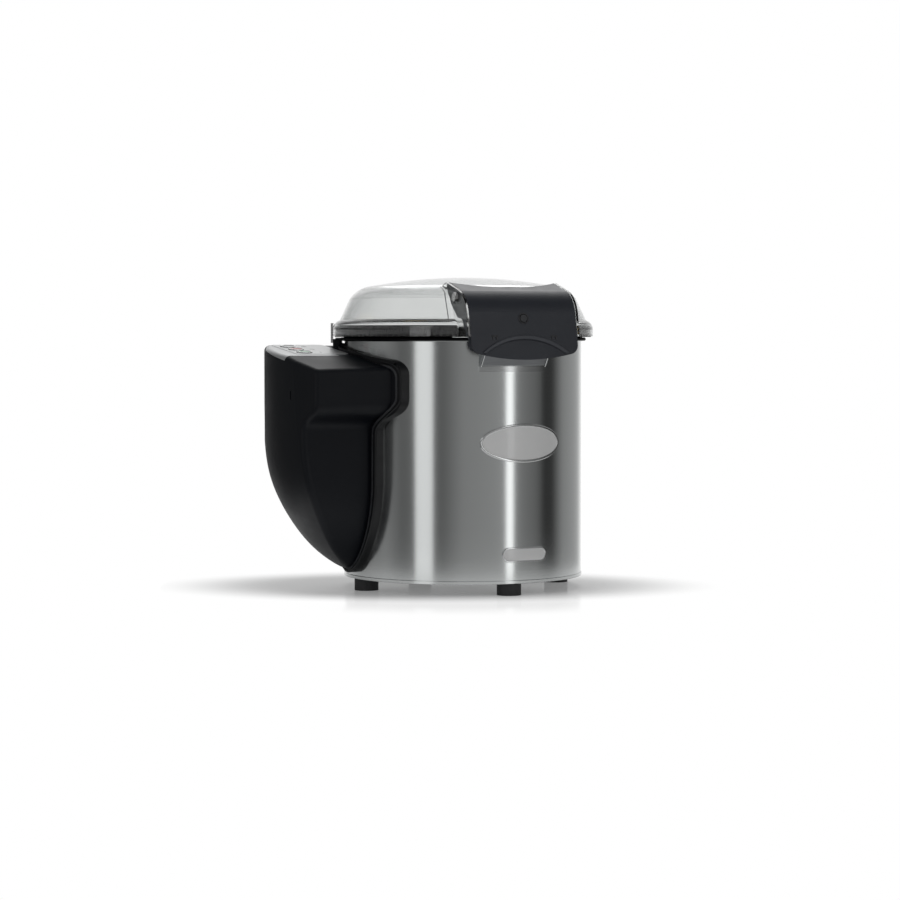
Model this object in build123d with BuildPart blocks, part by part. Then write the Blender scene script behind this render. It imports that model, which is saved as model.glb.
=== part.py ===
from build123d import *

# Bench potato peeler for about 5 kg a load. Millimetres, +Z up.
# The origin is on the floor under the axis of the steel cylinder.
# The discharge flap faces -Y, the side casing -X, the water and drain stubs +Y.

import os
from math import atan2, cos, radians, sin, sqrt

os.makedirs("parts", exist_ok=True)

# ---- driving dimensions ----
body_r = 180.0  # outside of the steel cylinder
sheet = 1.2  # its wall
body_z = 18.0  # underside of the cylinder, the height of the feet
rim_z = 380.0  # top of the rolled rim, where the lid's gasket sits
bead_r = 3.3  # rolled rim
foot_circle = 160.0
foot_r = 18.0
notch_half = 55.0  # half the width of the discharge notch in the rim
notch_z = 338.0  # sill of the notch
spout_half = 86.8  # half the clear width between the lid's cheeks
cheek = 3.5  # thickness of each cheek
lid_r = 198.0  # outside of the lid's skirt
lid_z = 381.0  # lower edge of the skirt
lid_top = 470.0
lid_wall = 3.0
flap_half = 86.0
flap_wall = 3.0
pivot_y = -169.0
pivot_z = 438.0
pan_z = 206.0  # underside of the cast pan's gutter
liner_top = 334.0
disc_z = 243.0  # underside of the peeling disc
disc_r = 169.0
shaft_r = 10.0
motor_x = 112.0  # motor axis
motor_shaft_r = 7.5
shelf_z = 64.0
pulley_z = 34.0
pulley_h = 20.0
driven_r = 80.0
motor_pulley_r = 20.0
casing_back = 307.0  # outer face of the casing, from the cylinder's axis
casing_wall = 3.0
casing_seat = 184.0  # radius on which the casing's flange lies, on its gasket
panel_low = (-35.0, 352.0)  # Y and Z of the control panel's front edge
panel_high = (107.0, 369.0)  # Y and Z of its rear edge
key_r = 9.0
run_gap = 0.05  # running fit of shafts, on the radius
move_gap = 0.3  # clearance between bodies that slide past each other

inner_r = body_r - sheet
screw_r = 1.8
screw_places = [
    (radians(180 + hand * turned), height)
    for turned, height in ((33.5, 340), (20.4, 196), (17.0, 100)) for hand in (-1, 1)
]  # turn and height of each casing screw


def front_plane(y):
    """A plane facing the front, -Y, whose sketch axes are X and Z."""
    return Plane(origin=(0, y, 0), x_dir=(1, 0, 0), z_dir=(0, -1, 0))


def rear_plane(y, z):
    """A plane facing the rear, +Y, centred on x 0 and height z."""
    return Plane(origin=(0, y, z), x_dir=(-1, 0, 0), z_dir=(0, 1, 0))


def side_plane(x):
    """A plane facing +X, whose sketch axes are Y and Z."""
    return Plane(origin=(x, 0, 0), x_dir=(0, 1, 0), z_dir=(1, 0, 0))


def wall_plane(turn, radius, height):
    """A plane square to a radius of the cylinder, facing outwards at a turn in radians."""
    out = Vector(cos(turn), sin(turn), 0)
    return Plane(origin=out * radius + Vector(0, 0, height), z_dir=out)


def ring(outer, inner, height, base=0.0, x=0.0):
    """An annulus standing at height base, about the upright axis at x."""
    with BuildPart() as made:
        with BuildSketch(Plane(origin=(x, 0, base))):
            Circle(outer)
            Circle(inner, mode=Mode.SUBTRACT)
        extrude(amount=height)
    return made.part


# ---------------------------------------------------------------- steel body

# Cylinder: one sheet, butt welded, its top edge rolled over a wire and its foot hemmed.
hem_t, hem_h = 0.8, 5.0
with BuildPart() as body_shell:
    with BuildSketch(Plane.XZ):
        with Locations(((body_r + inner_r) / 2, (body_z + rim_z - bead_r) / 2)):
            Rectangle(sheet, rim_z - bead_r - body_z)
        with Locations((body_r, rim_z - bead_r)):
            Circle(bead_r)
        # hem folded up round the foot
        with Locations((body_r + hem_t / 2, body_z + hem_h / 2)):
            RectangleRounded(hem_t * 1.9, hem_h, hem_t * 0.8)
    revolve(axis=Axis.Z)
    # discharge notch, open to the rim
    with BuildSketch(front_plane(-150)):
        with Locations((0, (notch_z + 400) / 2)):
            RectangleRounded(2 * notch_half, 400 - notch_z, 10)
    extrude(amount=50, mode=Mode.SUBTRACT)
    # drain and water holes at the rear
    for hole_z, hole_r in ((170, 23), (352, 8.5)):
        with BuildSketch(rear_plane(150, hole_z)):
            Circle(hole_r)
        extrude(amount=50, mode=Mode.SUBTRACT)
    # wiring hole under the casing
    with BuildSketch(side_plane(-150)):
        with Locations((0, 130)):
            Circle(16)
    extrude(amount=-50, mode=Mode.SUBTRACT)
    # holes for the casing's screws
    for turn, height in screw_places:
        with BuildSketch(wall_plane(turn, body_r - 5, height)):
            Circle(screw_r)
        extrude(amount=10, mode=Mode.SUBTRACT)
body_shell.part.label = "body_shell"

# Base plate: flat steel with an upturned rim, slotted for the motor's air.
rim_up = 12.0
plate_t = 1.5
with BuildPart() as base_plate:
    with BuildSketch(Plane.XY.offset(body_z)):
        Circle(inner_r)
    extrude(amount=rim_up)
    with BuildSketch(Plane.XY.offset(body_z + plate_t)):
        Circle(inner_r - plate_t)
    extrude(amount=rim_up, mode=Mode.SUBTRACT)
    with BuildSketch(Plane.XY.offset(body_z)):
        with GridLocations(1, 16, 1, 5):
            SlotOverall(90, 6)
        with PolarLocations(foot_circle, 4):
            Circle(3)
    extrude(amount=plate_t, mode=Mode.SUBTRACT)
base_plate.part.label = "base_plate"

# Rubber feet, each moulded round the head of a threaded stud.
stud_r, stud_head_r, stud_head_t = 3.0, 8.0, 3.0
stud_head_z = 11.0  # height of the head's underside
stud_z = stud_head_z + stud_head_t
feet = []
for foot_name, foot_angle in (("right", 0), ("rear", 90), ("left", 180), ("front", 270)):
    foot_x = foot_circle * cos(radians(foot_angle))
    foot_y = foot_circle * sin(radians(foot_angle))
    with BuildPart() as foot:
        with BuildSketch(Plane(origin=(foot_x, foot_y, 0))):
            Circle(foot_r)
        extrude(amount=body_z)
        fillet(foot.edges().sort_by(Axis.Z)[-1], 1.2)
        for level, radius, height in (
            (stud_head_z, stud_head_r, stud_head_t), (stud_z, stud_r, body_z - stud_z),
        ):
            with BuildSketch(Plane(origin=(foot_x, foot_y, level))):
                Circle(radius)
            extrude(amount=height, mode=Mode.SUBTRACT)
    foot.part.label = "foot_" + foot_name
    feet.append(foot)

# The studs in the feet, each with its nut on the base plate.
with BuildPart() as foot_studs:
    for level, radius, height in (
        (stud_head_z, stud_head_r, stud_head_t), (stud_z, stud_r, body_z + plate_t + 6 - stud_z),
    ):
        with BuildSketch(Plane.XY.offset(level)):
            with PolarLocations(foot_circle, 4):
                Circle(radius)
        extrude(amount=height)
    with BuildSketch(Plane.XY.offset(body_z + plate_t)):
        with PolarLocations(foot_circle, 4):
            RegularPolygon(5.8, 6)
    extrude(amount=5)
foot_studs.part.label = "foot_studs"

# Discharge chute: a flaring scoop pressed from sheet and spot welded below the notch.
chute_t = 1.5
chute_lip_r, chute_lip_z = 205.0, 372.0  # its pouring edge
chute_root_z = notch_z - 2  # where the scoop leaves the wall
flare = (chute_lip_r - body_r) / (chute_lip_z - chute_root_z)


def scoop_form(wall, half):
    """The scoop's form to one side of its sheet, reaching half to the left and to the right."""
    draw_in = wall * sqrt(1 + flare**2)
    with BuildPart() as made:
        with BuildSketch(Plane.XZ):
            with BuildLine():
                Polyline(
                    (150, chute_root_z), (body_r - draw_in, chute_root_z), (chute_lip_r - draw_in, chute_lip_z),
                    (150, chute_lip_z), close=True,
                )
            make_face()
        revolve(axis=Axis.Z)
        with BuildSketch(Plane.XY.offset(chute_root_z)):
            with Locations((0, -body_r)):
                Rectangle(2 * half, 100)
        extrude(amount=chute_lip_z - chute_root_z, mode=Mode.INTERSECT)
    return made.part


with BuildPart() as discharge_chute:
    add(scoop_form(0, notch_half))
    add(scoop_form(chute_t, notch_half - chute_t), mode=Mode.SUBTRACT)
    # curved welding flange that wraps the cylinder
    with BuildSketch(Plane.XY.offset(notch_z - 9)):
        Circle(body_r + chute_t)
        with Locations((0, -body_r)):
            Rectangle(2 * notch_half, 60, mode=Mode.INTERSECT)
    extrude(amount=9)
    with BuildSketch(Plane.XY.offset(300)):
        Circle(body_r)
    extrude(amount=100, mode=Mode.SUBTRACT)
discharge_chute.part.label = "discharge_chute"

# ------------------------------------------------------------ peeling chamber

# Cast aluminium pan: a raised deck, a drain gutter round it and a bearing boss.
gutter_r = 127.5
boss_r = 22.0
with BuildPart() as chamber_floor:
    with BuildSketch(Plane.XZ):
        with BuildLine():
            Polyline(
                (boss_r, pan_z - 6), (54, pan_z - 6), (54, pan_z + 14), (gutter_r - 10, pan_z + 14),
                (gutter_r - 4, pan_z), (inner_r, pan_z), (inner_r, pan_z + 30), (inner_r - 3.5, pan_z + 30),
                (inner_r - 3.5, pan_z + 5), (gutter_r, pan_z + 5), (gutter_r - 6, pan_z + 19),
                (38, pan_z + 19), (34, pan_z + 33), (boss_r, pan_z + 33), close=True,
            )
        make_face()
    revolve(axis=Axis.Z)
    # stiffening ribs under the deck, from the boss to the gutter
    for rib_angle in range(0, 360, 45):
        outwards = (cos(radians(rib_angle)), sin(radians(rib_angle)), 0)
        across = (outwards[1], -outwards[0], 0)
        with BuildSketch(Plane(origin=(0, 0, 0), x_dir=outwards, z_dir=across)):
            with BuildLine():
                Polyline((50, pan_z - 4), (50, pan_z + 16), (118, pan_z + 16), (122, pan_z + 2), close=True)
            make_face()
        extrude(amount=2.5, both=True)
    # drain hole in the gutter, at the rear
    with BuildSketch(Plane(origin=(0, 150, pan_z))):
        Circle(17.5)
    extrude(amount=6, mode=Mode.SUBTRACT)
chamber_floor.part.label = "chamber_floor"

# Grit-coated liner with upright flutes, standing on the pan's wall.
liner_in = inner_r - 4.5
liner_z = pan_z + 30
with BuildPart() as abrasive_liner:
    with BuildSketch(Plane.XY.offset(liner_z)):
        Circle(inner_r)
        Circle(liner_in, mode=Mode.SUBTRACT)
        with PolarLocations(liner_in, 24, start_angle=7.5):
            Circle(2.5)
        Circle(inner_r, mode=Mode.INTERSECT)
    extrude(amount=liner_top - liner_z)
abrasive_liner.part.label = "abrasive_liner"

# Bearing housing, a flanged casting bolted under the pan's boss.
with BuildPart() as bearing_housing:
    with BuildSketch(Plane.XZ):
        with BuildLine():
            Polyline(
                (21, 130), (27, 130), (30, 136), (30, 182), (36, 192), (52, 192), (52, pan_z - 6),
                (21, pan_z - 6), (21, 186), (17, 186), (17, 144), (21, 144), close=True,
            )
        make_face()
    revolve(axis=Axis.Z)
    with BuildSketch(Plane.XY.offset(190)):
        with PolarLocations(43, 4, start_angle=45):
            Circle(3.3)
    extrude(amount=12, mode=Mode.SUBTRACT)
bearing_housing.part.label = "bearing_housing"

with BuildPart() as housing_bolts:
    with BuildSketch(Plane.XY.offset(187)):
        with PolarLocations(43, 4, start_angle=45):
            RegularPolygon(5.8, 6)
    extrude(amount=5)
    with BuildSketch(Plane.XY.offset(192)):
        with PolarLocations(43, 4, start_angle=45):
            Circle(3.3)
    extrude(amount=pan_z - 6 - 192)
housing_bolts.part.label = "housing_bolts"

# Two sealed ball bearings, 20 by 42 by 12, with their seals set in.
with BuildPart() as shaft_bearings:
    for bearing_z in (186, 132):
        add(ring(21, shaft_r + run_gap, 12, bearing_z))
        for level in (bearing_z, bearing_z + 11):
            add(ring(18.5, 13, 1, level), mode=Mode.SUBTRACT)
shaft_bearings.part.label = "shaft_bearings"

# Lip seal pressed into the top of the boss.
with BuildPart() as shaft_seal:
    with BuildSketch(Plane.XZ):
        with BuildLine():
            Polyline(
                (shaft_r + run_gap, 235), (13, 231), (15, 229), (boss_r, 229), (boss_r, 239),
                (13, 239), (shaft_r + run_gap, 237), close=True,
            )
        make_face()
    revolve(axis=Axis.Z)
shaft_seal.part.label = "shaft_seal"

# Drain bend under the gutter: its stub leaves through the rear, for a 40 mm hose.
drain_out, drain_in = 20.0, 17.5
bend_r = 26.0
drain_z = pan_z - 10 - bend_r
drain_end = 226.0
drain_stub = 40.0  # length of the hose's seat
drain_neck = 19.5  # radius of the pipe up to there
with BuildPart() as drain_elbow:
    with BuildLine(Plane.YZ):
        Line((150, pan_z), (150, pan_z - 10))
        JernArc(start=(150, pan_z - 10), tangent=(0, -1), radius=bend_r, arc_size=90)
        Line((150 + bend_r, drain_z), (drain_end, drain_z))
    with BuildSketch(Plane(origin=(0, 150, pan_z), x_dir=(1, 0, 0), z_dir=(0, 0, -1))):
        Circle(drain_neck)
        Circle(drain_in, mode=Mode.SUBTRACT)
    sweep()
    with BuildSketch(rear_plane(drain_end - drain_stub, drain_z)):
        Circle(drain_out)
        Circle(drain_in, mode=Mode.SUBTRACT)
    extrude(amount=drain_stub)
    # flange screwed up against the gutter
    with BuildSketch(Plane(origin=(0, 150, pan_z - 4))):
        Circle(25.5)
        Circle(drain_in, mode=Mode.SUBTRACT)
    extrude(amount=4)
drain_elbow.part.label = "drain_elbow"

# Rubber grommet that seals the drain stub in the cylinder's wall.
with BuildPart() as drain_seal:
    with BuildSketch(rear_plane(160, drain_z)):
        Circle(28)
    extrude(amount=24)
    with BuildSketch(Plane.XY.offset(120)):
        Circle(body_r)
    extrude(amount=100, mode=Mode.SUBTRACT)
    with BuildSketch(rear_plane(176.5, drain_z)):
        Circle(23)
    extrude(amount=6)
    with BuildSketch(rear_plane(150, drain_z)):
        Circle(drain_neck)
    extrude(amount=60, mode=Mode.SUBTRACT)
drain_seal.part.label = "drain_seal"

# Water union: a brass hexagon outside the wall, with a 3/4 inch parallel stub.
water_z = 352.0
with BuildPart() as water_inlet:
    with BuildSketch(rear_plane(170, water_z)):
        RegularPolygon(18, 6)
    extrude(amount=19)
    with BuildSketch(Plane.XY.offset(300)):
        Circle(body_r)
    extrude(amount=100, mode=Mode.SUBTRACT)
    with BuildSketch(rear_plane(189, water_z)):
        Circle(13.2)
    extrude(amount=18)
    with BuildSketch(rear_plane(164, water_z)):
        Circle(8.5)
    extrude(amount=20)
    with BuildSketch(rear_plane(150, water_z)):
        Circle(5.5)
    extrude(amount=80, mode=Mode.SUBTRACT)
water_inlet.part.label = "water_inlet"

# Spray nozzle screwed on the union inside the chamber: a fan slot sprays down.
with BuildPart() as spray_nozzle:
    with BuildSketch(rear_plane(158, water_z)):
        Circle(13)
    extrude(amount=inner_r - 158 - 0.6)
    with BuildSketch(rear_plane(164, water_z)):
        Circle(8.5)
    extrude(amount=20, mode=Mode.SUBTRACT)
    with BuildSketch(rear_plane(161, water_z)):
        Circle(5.5)
    extrude(amount=4, mode=Mode.SUBTRACT)
    with BuildSketch(rear_plane(158, water_z)):
        with Locations((0, -3)):
            SlotOverall(14, 3)
    extrude(amount=4, mode=Mode.SUBTRACT)
    chamfer(spray_nozzle.faces().sort_by(Axis.Y)[0].outer_wire().edges(), 1.5)
spray_nozzle.part.label = "spray_nozzle"

# --------------------------------------------------------- shaft, disc, pulley

# Main shaft: turned steel, with a flat top that centres the disc.
with BuildPart() as main_shaft:
    with BuildSketch(Plane.XY.offset(pulley_z)):
        Circle(shaft_r)
    extrude(amount=256 - pulley_z)
    chamfer(main_shaft.faces().sort_by(Axis.Z)[-1].edges(), 1.5)
    with BuildSketch(side_plane(-14)):
        with Locations((0, 249)):
            Circle(3)
    extrude(amount=28, mode=Mode.SUBTRACT)
main_shaft.part.label = "main_shaft"

# Cross pin that drives the disc's slotted hub.
with BuildPart() as drive_pin:
    with BuildSketch(side_plane(-16)):
        with Locations((0, 249)):
            Circle(3)
    extrude(amount=32)
drive_pin.part.label = "drive_pin"


def grooved_rim(radius, bore, x, grooves, pitch, depth):
    """A ribbed-belt pulley blank whose face has V grooves turned in it."""
    with BuildPart() as made:
        with BuildSketch(Plane(origin=(x, 0, 0), x_dir=(1, 0, 0), z_dir=(0, -1, 0))):
            with BuildLine():
                corners = [(bore, pulley_z), (radius, pulley_z)]
                first = pulley_z + (pulley_h - grooves * pitch) / 2
                for groove in range(grooves):
                    foot_at = first + groove * pitch
                    corners.append((radius, foot_at))
                    corners.append((radius - depth, foot_at + pitch / 2))
                corners.append((radius, first + grooves * pitch))
                corners.append((radius, pulley_z + pulley_h))
                corners.append((bore, pulley_z + pulley_h))
                Polyline(*corners, close=True)
            make_face()
        revolve(axis=Axis((x, 0, 0), (0, 0, 1)))
    return made.part


# Driven pulley: cast aluminium, a thin web with round windows between hub and rim.
with BuildPart() as driven_pulley:
    add(grooved_rim(driven_r, shaft_r, 0, 4, 4.0, 2.4))
    for level in (pulley_z - 1, pulley_z + 13):
        add(ring(driven_r - 9, 18, 8, level), mode=Mode.SUBTRACT)
    with BuildSketch(Plane.XY.offset(pulley_z)):
        with PolarLocations(45, 6):
            Circle(15)
    extrude(amount=pulley_h, mode=Mode.SUBTRACT)
driven_pulley.part.label = "driven_pulley"

# Washer and hexagon bolt that hold the pulley on the shaft's foot.
with BuildPart() as pulley_bolt:
    add(ring(14, 4, 2, pulley_z - 2))
    with BuildSketch(Plane.XY.offset(pulley_z - 7.5)):
        RegularPolygon(7.5, 6)
    extrude(amount=5.5)
    with BuildSketch(Plane.XY.offset(pulley_z - 2)):
        Circle(4)
    extrude(amount=2)
pulley_bolt.part.label = "pulley_bolt"

ridge_out = 150.0
ridge_in = 34.0


def disc_form(top, bottom):
    """The peeling disc between two heights: a plate with three wave ridges that toss the load."""
    with BuildPart() as made:
        with BuildSketch(Plane.XY.offset(bottom)):
            Circle(disc_r)
        extrude(amount=top - bottom)
        for ridge_angle in (90, 210, 330):
            outwards = Vector(cos(radians(ridge_angle)), sin(radians(ridge_angle)), 0)
            across = Vector(-outwards.Y, outwards.X, 0)
            start = outwards * ridge_in + Vector(0, 0, top)
            with BuildSketch(Plane(origin=start, x_dir=across, z_dir=outwards)):
                with BuildLine():
                    ThreePointArc((-36, -1), (0, 11), (36, -1))
                    Polyline((36, -1), (36, -7), (-36, -7), (-36, -1))
                make_face()
            extrude(amount=ridge_out - ridge_in, taper=2)
    return made.part


# Disc carrier: cast aluminium with a hub, driving slots and two sweeper blades below.
with BuildPart() as disc_carrier:
    add(disc_form(disc_z + 8, disc_z))
    with BuildSketch(Plane.XY.offset(disc_z - 2)):
        Circle(24)
    extrude(amount=24)
    with BuildSketch(Plane.XY.offset(disc_z - 2)):
        Circle(shaft_r + run_gap)
    extrude(amount=16, mode=Mode.SUBTRACT)
    with BuildSketch(Plane.XY.offset(disc_z - 2)):
        SlotOverall(40, 7)
    extrude(amount=12, mode=Mode.SUBTRACT)
    # blades that sweep the peel along the gutter to the drain
    for blade_angle in (0, 180):
        with BuildSketch(Plane.XY.offset(pan_z + 9)):
            with PolarLocations(150, 1, start_angle=blade_angle):
                Rectangle(36, 5)
        extrude(amount=disc_z - pan_z - 9)
disc_carrier.part.label = "disc_carrier"

# Abrasive coat bonded on the carrier: the same wave form, 2 mm thick.
with BuildPart() as abrasive_coat:
    add(disc_form(disc_z + 10, disc_z + 8))
    add(disc_form(disc_z + 8, disc_z), mode=Mode.SUBTRACT)
    with BuildSketch(Plane.XY.offset(disc_z)):
        Circle(24)
    extrude(amount=40, mode=Mode.SUBTRACT)
abrasive_coat.part.label = "abrasive_coat"

# Cap over the hub, turned with a waist for the fingers, to lift the disc out by.
with BuildPart() as disc_cap:
    with BuildSketch(Plane.XZ):
        with BuildLine():
            Polyline(
                (0, 279), (0, 265), (24, 265), (24, 268), (20, 270), (12, 271), (11, 274), (14, 277), (13, 279),
                close=True,
            )
        make_face()
    revolve(axis=Axis.Z)
disc_cap.part.label = "disc_cap"

# ------------------------------------------------------------------- motor

# Transmission shelf: a bridge of folded steel across the cylinder.
shelf_half = 84.0
with BuildPart() as motor_shelf:
    with BuildSketch(Plane.XY.offset(shelf_z - 12)):
        Circle(inner_r)
        Rectangle(2 * inner_r, 2 * shelf_half, mode=Mode.INTERSECT)
    extrude(amount=16)
    with BuildSketch(Plane.XY.offset(shelf_z - 12)):
        Circle(inner_r - 2.5)
    extrude(amount=12, mode=Mode.SUBTRACT)
    with BuildSketch(Plane.XY.offset(shelf_z)):
        Circle(24)
        with Locations((motor_x, 0)):
            Circle(24)
            with GridLocations(88, 88, 2, 2):
                SlotOverall(14, 8.4)
        with Locations((-105, 0)):
            SlotOverall(90, 60)
    extrude(amount=4, mode=Mode.SUBTRACT)
motor_shelf.part.label = "motor_shelf"

flange_z = shelf_z + 4


def motor_level(height):
    """A level plane on the motor's axis."""
    return Plane(origin=(motor_x, 0, height))


# Finned aluminium stator housing.
with BuildPart() as motor_frame:
    with BuildSketch(motor_level(flange_z + 8)):
        Circle(51)
        with PolarLocations(51.5, 20, start_angle=9):
            Rectangle(8, 3)
        Circle(46, mode=Mode.SUBTRACT)
    extrude(amount=92)
motor_frame.part.label = "motor_frame"

# End shields with bearing seats: the lower one is the flange on the shelf.
with BuildPart() as motor_shields:
    with BuildSketch(motor_level(flange_z)):
        RectangleRounded(104, 104, 12)
    extrude(amount=8)
    with BuildSketch(motor_level(flange_z + 8)):
        Circle(46)
    extrude(amount=6)
    with BuildSketch(motor_level(flange_z)):
        with GridLocations(88, 88, 2, 2):
            Circle(4)
    extrude(amount=14, mode=Mode.SUBTRACT)
    with BuildSketch(motor_level(flange_z + 100)):
        Circle(52.5)
    extrude(amount=10)
    with BuildSketch(motor_level(flange_z + 94)):
        Circle(46)
    extrude(amount=6)
    with BuildSketch(motor_level(flange_z)):
        Circle(17.5)
    extrude(amount=120, mode=Mode.SUBTRACT)
motor_shields.part.label = "motor_shields"

with BuildPart() as motor_bearings:
    add(ring(17.5, motor_shaft_r + run_gap, 11, flange_z + 2, motor_x))
    add(ring(17.5, motor_shaft_r + run_gap, 11, flange_z + 97, motor_x))
motor_bearings.part.label = "motor_bearings"

with BuildPart() as motor_stator:
    add(ring(46, 28.5, 60, flange_z + 24, motor_x))
    # windings bulge past the laminations at both ends
    for winding_z in (flange_z + 16, flange_z + 84):
        add(ring(44, 32, 8, winding_z, motor_x))
motor_stator.part.label = "motor_stator"

# Pressed cowl over the fan, with an air grille in its top.
cowl_z = flange_z + 102
with BuildPart() as fan_cowl:
    add(ring(54, 52.5, 28, cowl_z, motor_x))
    with BuildSketch(motor_level(cowl_z + 28)):
        Circle(54)
        with PolarLocations(26, 16):
            SlotOverall(30, 5)
    extrude(amount=1.5)
fan_cowl.part.label = "fan_cowl"

with BuildPart() as motor_bolts:
    for level, radius, height in ((shelf_z, 4, 12), (shelf_z + 12, 6, 5)):
        with BuildSketch(motor_level(level)):
            with GridLocations(88, 88, 2, 2):
                if radius > 4:
                    RegularPolygon(radius, 6)
                else:
                    Circle(radius)
        extrude(amount=height)
motor_bolts.part.label = "motor_bolts"

with BuildPart() as motor_shaft:
    with BuildSketch(motor_level(pulley_z)):
        Circle(motor_shaft_r)
    extrude(amount=162)
motor_shaft.part.label = "motor_shaft"

with BuildPart() as rotor_core:
    add(ring(28, motor_shaft_r, 60, flange_z + 24, motor_x))
rotor_core.part.label = "rotor_core"

with BuildPart() as motor_pulley:
    add(grooved_rim(motor_pulley_r, motor_shaft_r, motor_x, 4, 4.0, 2.4))
motor_pulley.part.label = "motor_pulley"

with BuildPart() as cooling_fan:
    fan_z = cowl_z + 12
    add(ring(13, motor_shaft_r, 10, fan_z, motor_x))
    with BuildSketch(motor_level(fan_z)):
        Circle(44)
        Circle(motor_shaft_r, mode=Mode.SUBTRACT)
    extrude(amount=2)
    with BuildSketch(motor_level(fan_z)):
        with PolarLocations(29, 9):
            Rectangle(34, 2)
        Circle(10, mode=Mode.SUBTRACT)
    extrude(amount=12)
cooling_fan.part.label = "cooling_fan"


def belt_face(gap):
    """Outline round both pulleys, gap outside their faces."""
    with BuildSketch(Plane.XY.offset(pulley_z + 2)) as outline:
        Circle(driven_r + gap)
        with Locations((motor_x, 0)):
            Circle(motor_pulley_r + gap)
        make_hull()
    return outline.sketch


# Ribbed belt round both pulleys.
belt_t = 3.5
with BuildPart() as drive_belt:
    with BuildSketch(Plane.XY.offset(pulley_z + 2)):
        add(belt_face(move_gap + belt_t))
        add(belt_face(move_gap), mode=Mode.SUBTRACT)
    extrude(amount=pulley_h - 4)
drive_belt.part.label = "drive_belt"

# ------------------------------------------------------------- side casing

roof_rise = (panel_high[1] - panel_low[1]) / (panel_high[0] - panel_low[0])
casing_corner = 9.0  # radius of the casing's outer edges


def casing_outline(x, upper, lower, front_top, crest, bottom, corner=0):
    """Face of the casing seen from its side: a wide box above, a slimmer rounded tail below."""
    shoulder, waist, tail = 290.0, 240.0, 172.0
    rear_top = crest + (upper - panel_low[0]) * roof_rise
    with BuildSketch(side_plane(x)) as outline:
        with BuildLine():
            for hand in (-1, 1):
                Bezier(
                    (hand * upper, shoulder), (hand * upper, 256), (hand * lower, 266), (hand * lower, waist),
                )
                Line((hand * lower, waist), (hand * lower, tail))
            Line((upper, shoulder), (upper, rear_top))
            Line((-upper, shoulder), (-upper, front_top))
            Line((-upper, front_top), (panel_low[0], crest))
            Line((panel_low[0], crest), (upper, rear_top))
            EllipticalCenterArc((0, tail), lower, tail - bottom, start_angle=180, arc_size=180)
        make_face()
        if corner:
            tops = [v for v in outline.vertices() if v.Y > 330 and abs(v.X) > upper - 1]
            fillet(tops, corner)
    return outline.sketch


def casing_form(inset):
    """Solid form of the casing, drawn in by inset on its outer faces."""
    with BuildPart() as made:
        far = casing_outline(-325, 108 - inset, 83 - inset, 331 - inset, panel_low[1] - inset, 26 + inset)
        near = casing_outline(-120, 94 - inset, 50 - inset, 336 - inset, panel_low[1] - inset, 40 + inset)
        loft([far, near], ruled=True)
        # seen from the front, the outer face curves in below the waist
        with BuildSketch(Plane.XZ):
            with BuildLine():
                Line((100, 400), (casing_back - inset, 400))
                Line((casing_back - inset, 400), (casing_back - 2 - inset, 252))
                Spline(
                    (casing_back - 2 - inset, 252), (294.8 - inset, 167), (259 - inset, 95), (181 - inset, 25),
                    tangents=((-0.01, -1), (-1, -0.55)),
                )
                Line((181 - inset, 25), (100, 25))
                Line((100, 25), (100, 400))
            make_face()
        revolve(axis=Axis.Z, mode=Mode.INTERSECT)
        # seen from above, a broad bevel takes off both outer corners
        with BuildSketch(Plane.XY):
            with BuildLine():
                Polyline(
                    (-100, -130), (-274 + inset, -130), (-303.5 + inset, -50), (-330, -30),
                    (-330, 30), (-303.5 + inset, 50), (-274 + inset, 130), (-100, 130), close=True,
                )
            make_face()
        extrude(amount=400, mode=Mode.INTERSECT)
        outer_edges = [e for e in made.edges() if min(v.X for v in e.vertices()) < -121]
        fillet(outer_edges, casing_corner - inset)
    return made.part


def wrap_band(outer, inner, grow):
    """A band wrapped on the cylinder between two radii, grow wider all round than the casing's flange."""
    with BuildPart() as made:
        face = casing_outline(-120, 111 + grow, 71 + grow, 341 + grow, 353.5 + grow, 30 - grow, 20 + grow)
        extrude(face, amount=-100)
        with BuildSketch(Plane.XY):
            Circle(outer)
            Circle(inner, mode=Mode.SUBTRACT)
        extrude(amount=400, mode=Mode.INTERSECT)
    return made.part


# The casing: one deep moulding, open towards the cylinder, with a wrapped flange.
flange_t = 4.0
panel_tilt = atan2(roof_rise, 1)
panel_x = -236.0
panel_y = 38.0
panel_level = panel_low[1] + (panel_y - panel_low[0]) * roof_rise
key_places = (("start_key", -34), ("stop_key", 0), ("timer_key", 34))
key_x = -22.0
board_drop = 10.0  # depth of the circuit board under the roof's outer face
tower_turn = radians(154)
tower_out = Vector(cos(tower_turn), sin(tower_turn), 0)


def panel_at(depth):
    """The roof's plane under the control panel, lowered by depth."""
    normal = Vector(0, -sin(panel_tilt), cos(panel_tilt))
    middle = Vector(panel_x, panel_y, panel_level)
    return Plane(origin=middle - normal * depth, x_dir=(1, 0, 0), z_dir=normal)


def tower_at(height):
    """A level plane on the lid sensor's tower, its x axis pointing outwards."""
    return Plane(origin=(0, 0, height), x_dir=tower_out, z_dir=(0, 0, 1))


# the rear flank closes in towards the cylinder
flank_far, flank_near = Vector(-325, 83, 0), Vector(-120, 50, 0)
flank_run = (flank_near - flank_far).normalized()
gland_plane = Plane(
    origin=flank_far + (flank_near - flank_far) * 0.46 + Vector(0, 0, 190),
    z_dir=(-flank_run.Y, flank_run.X, 0),
)

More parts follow.
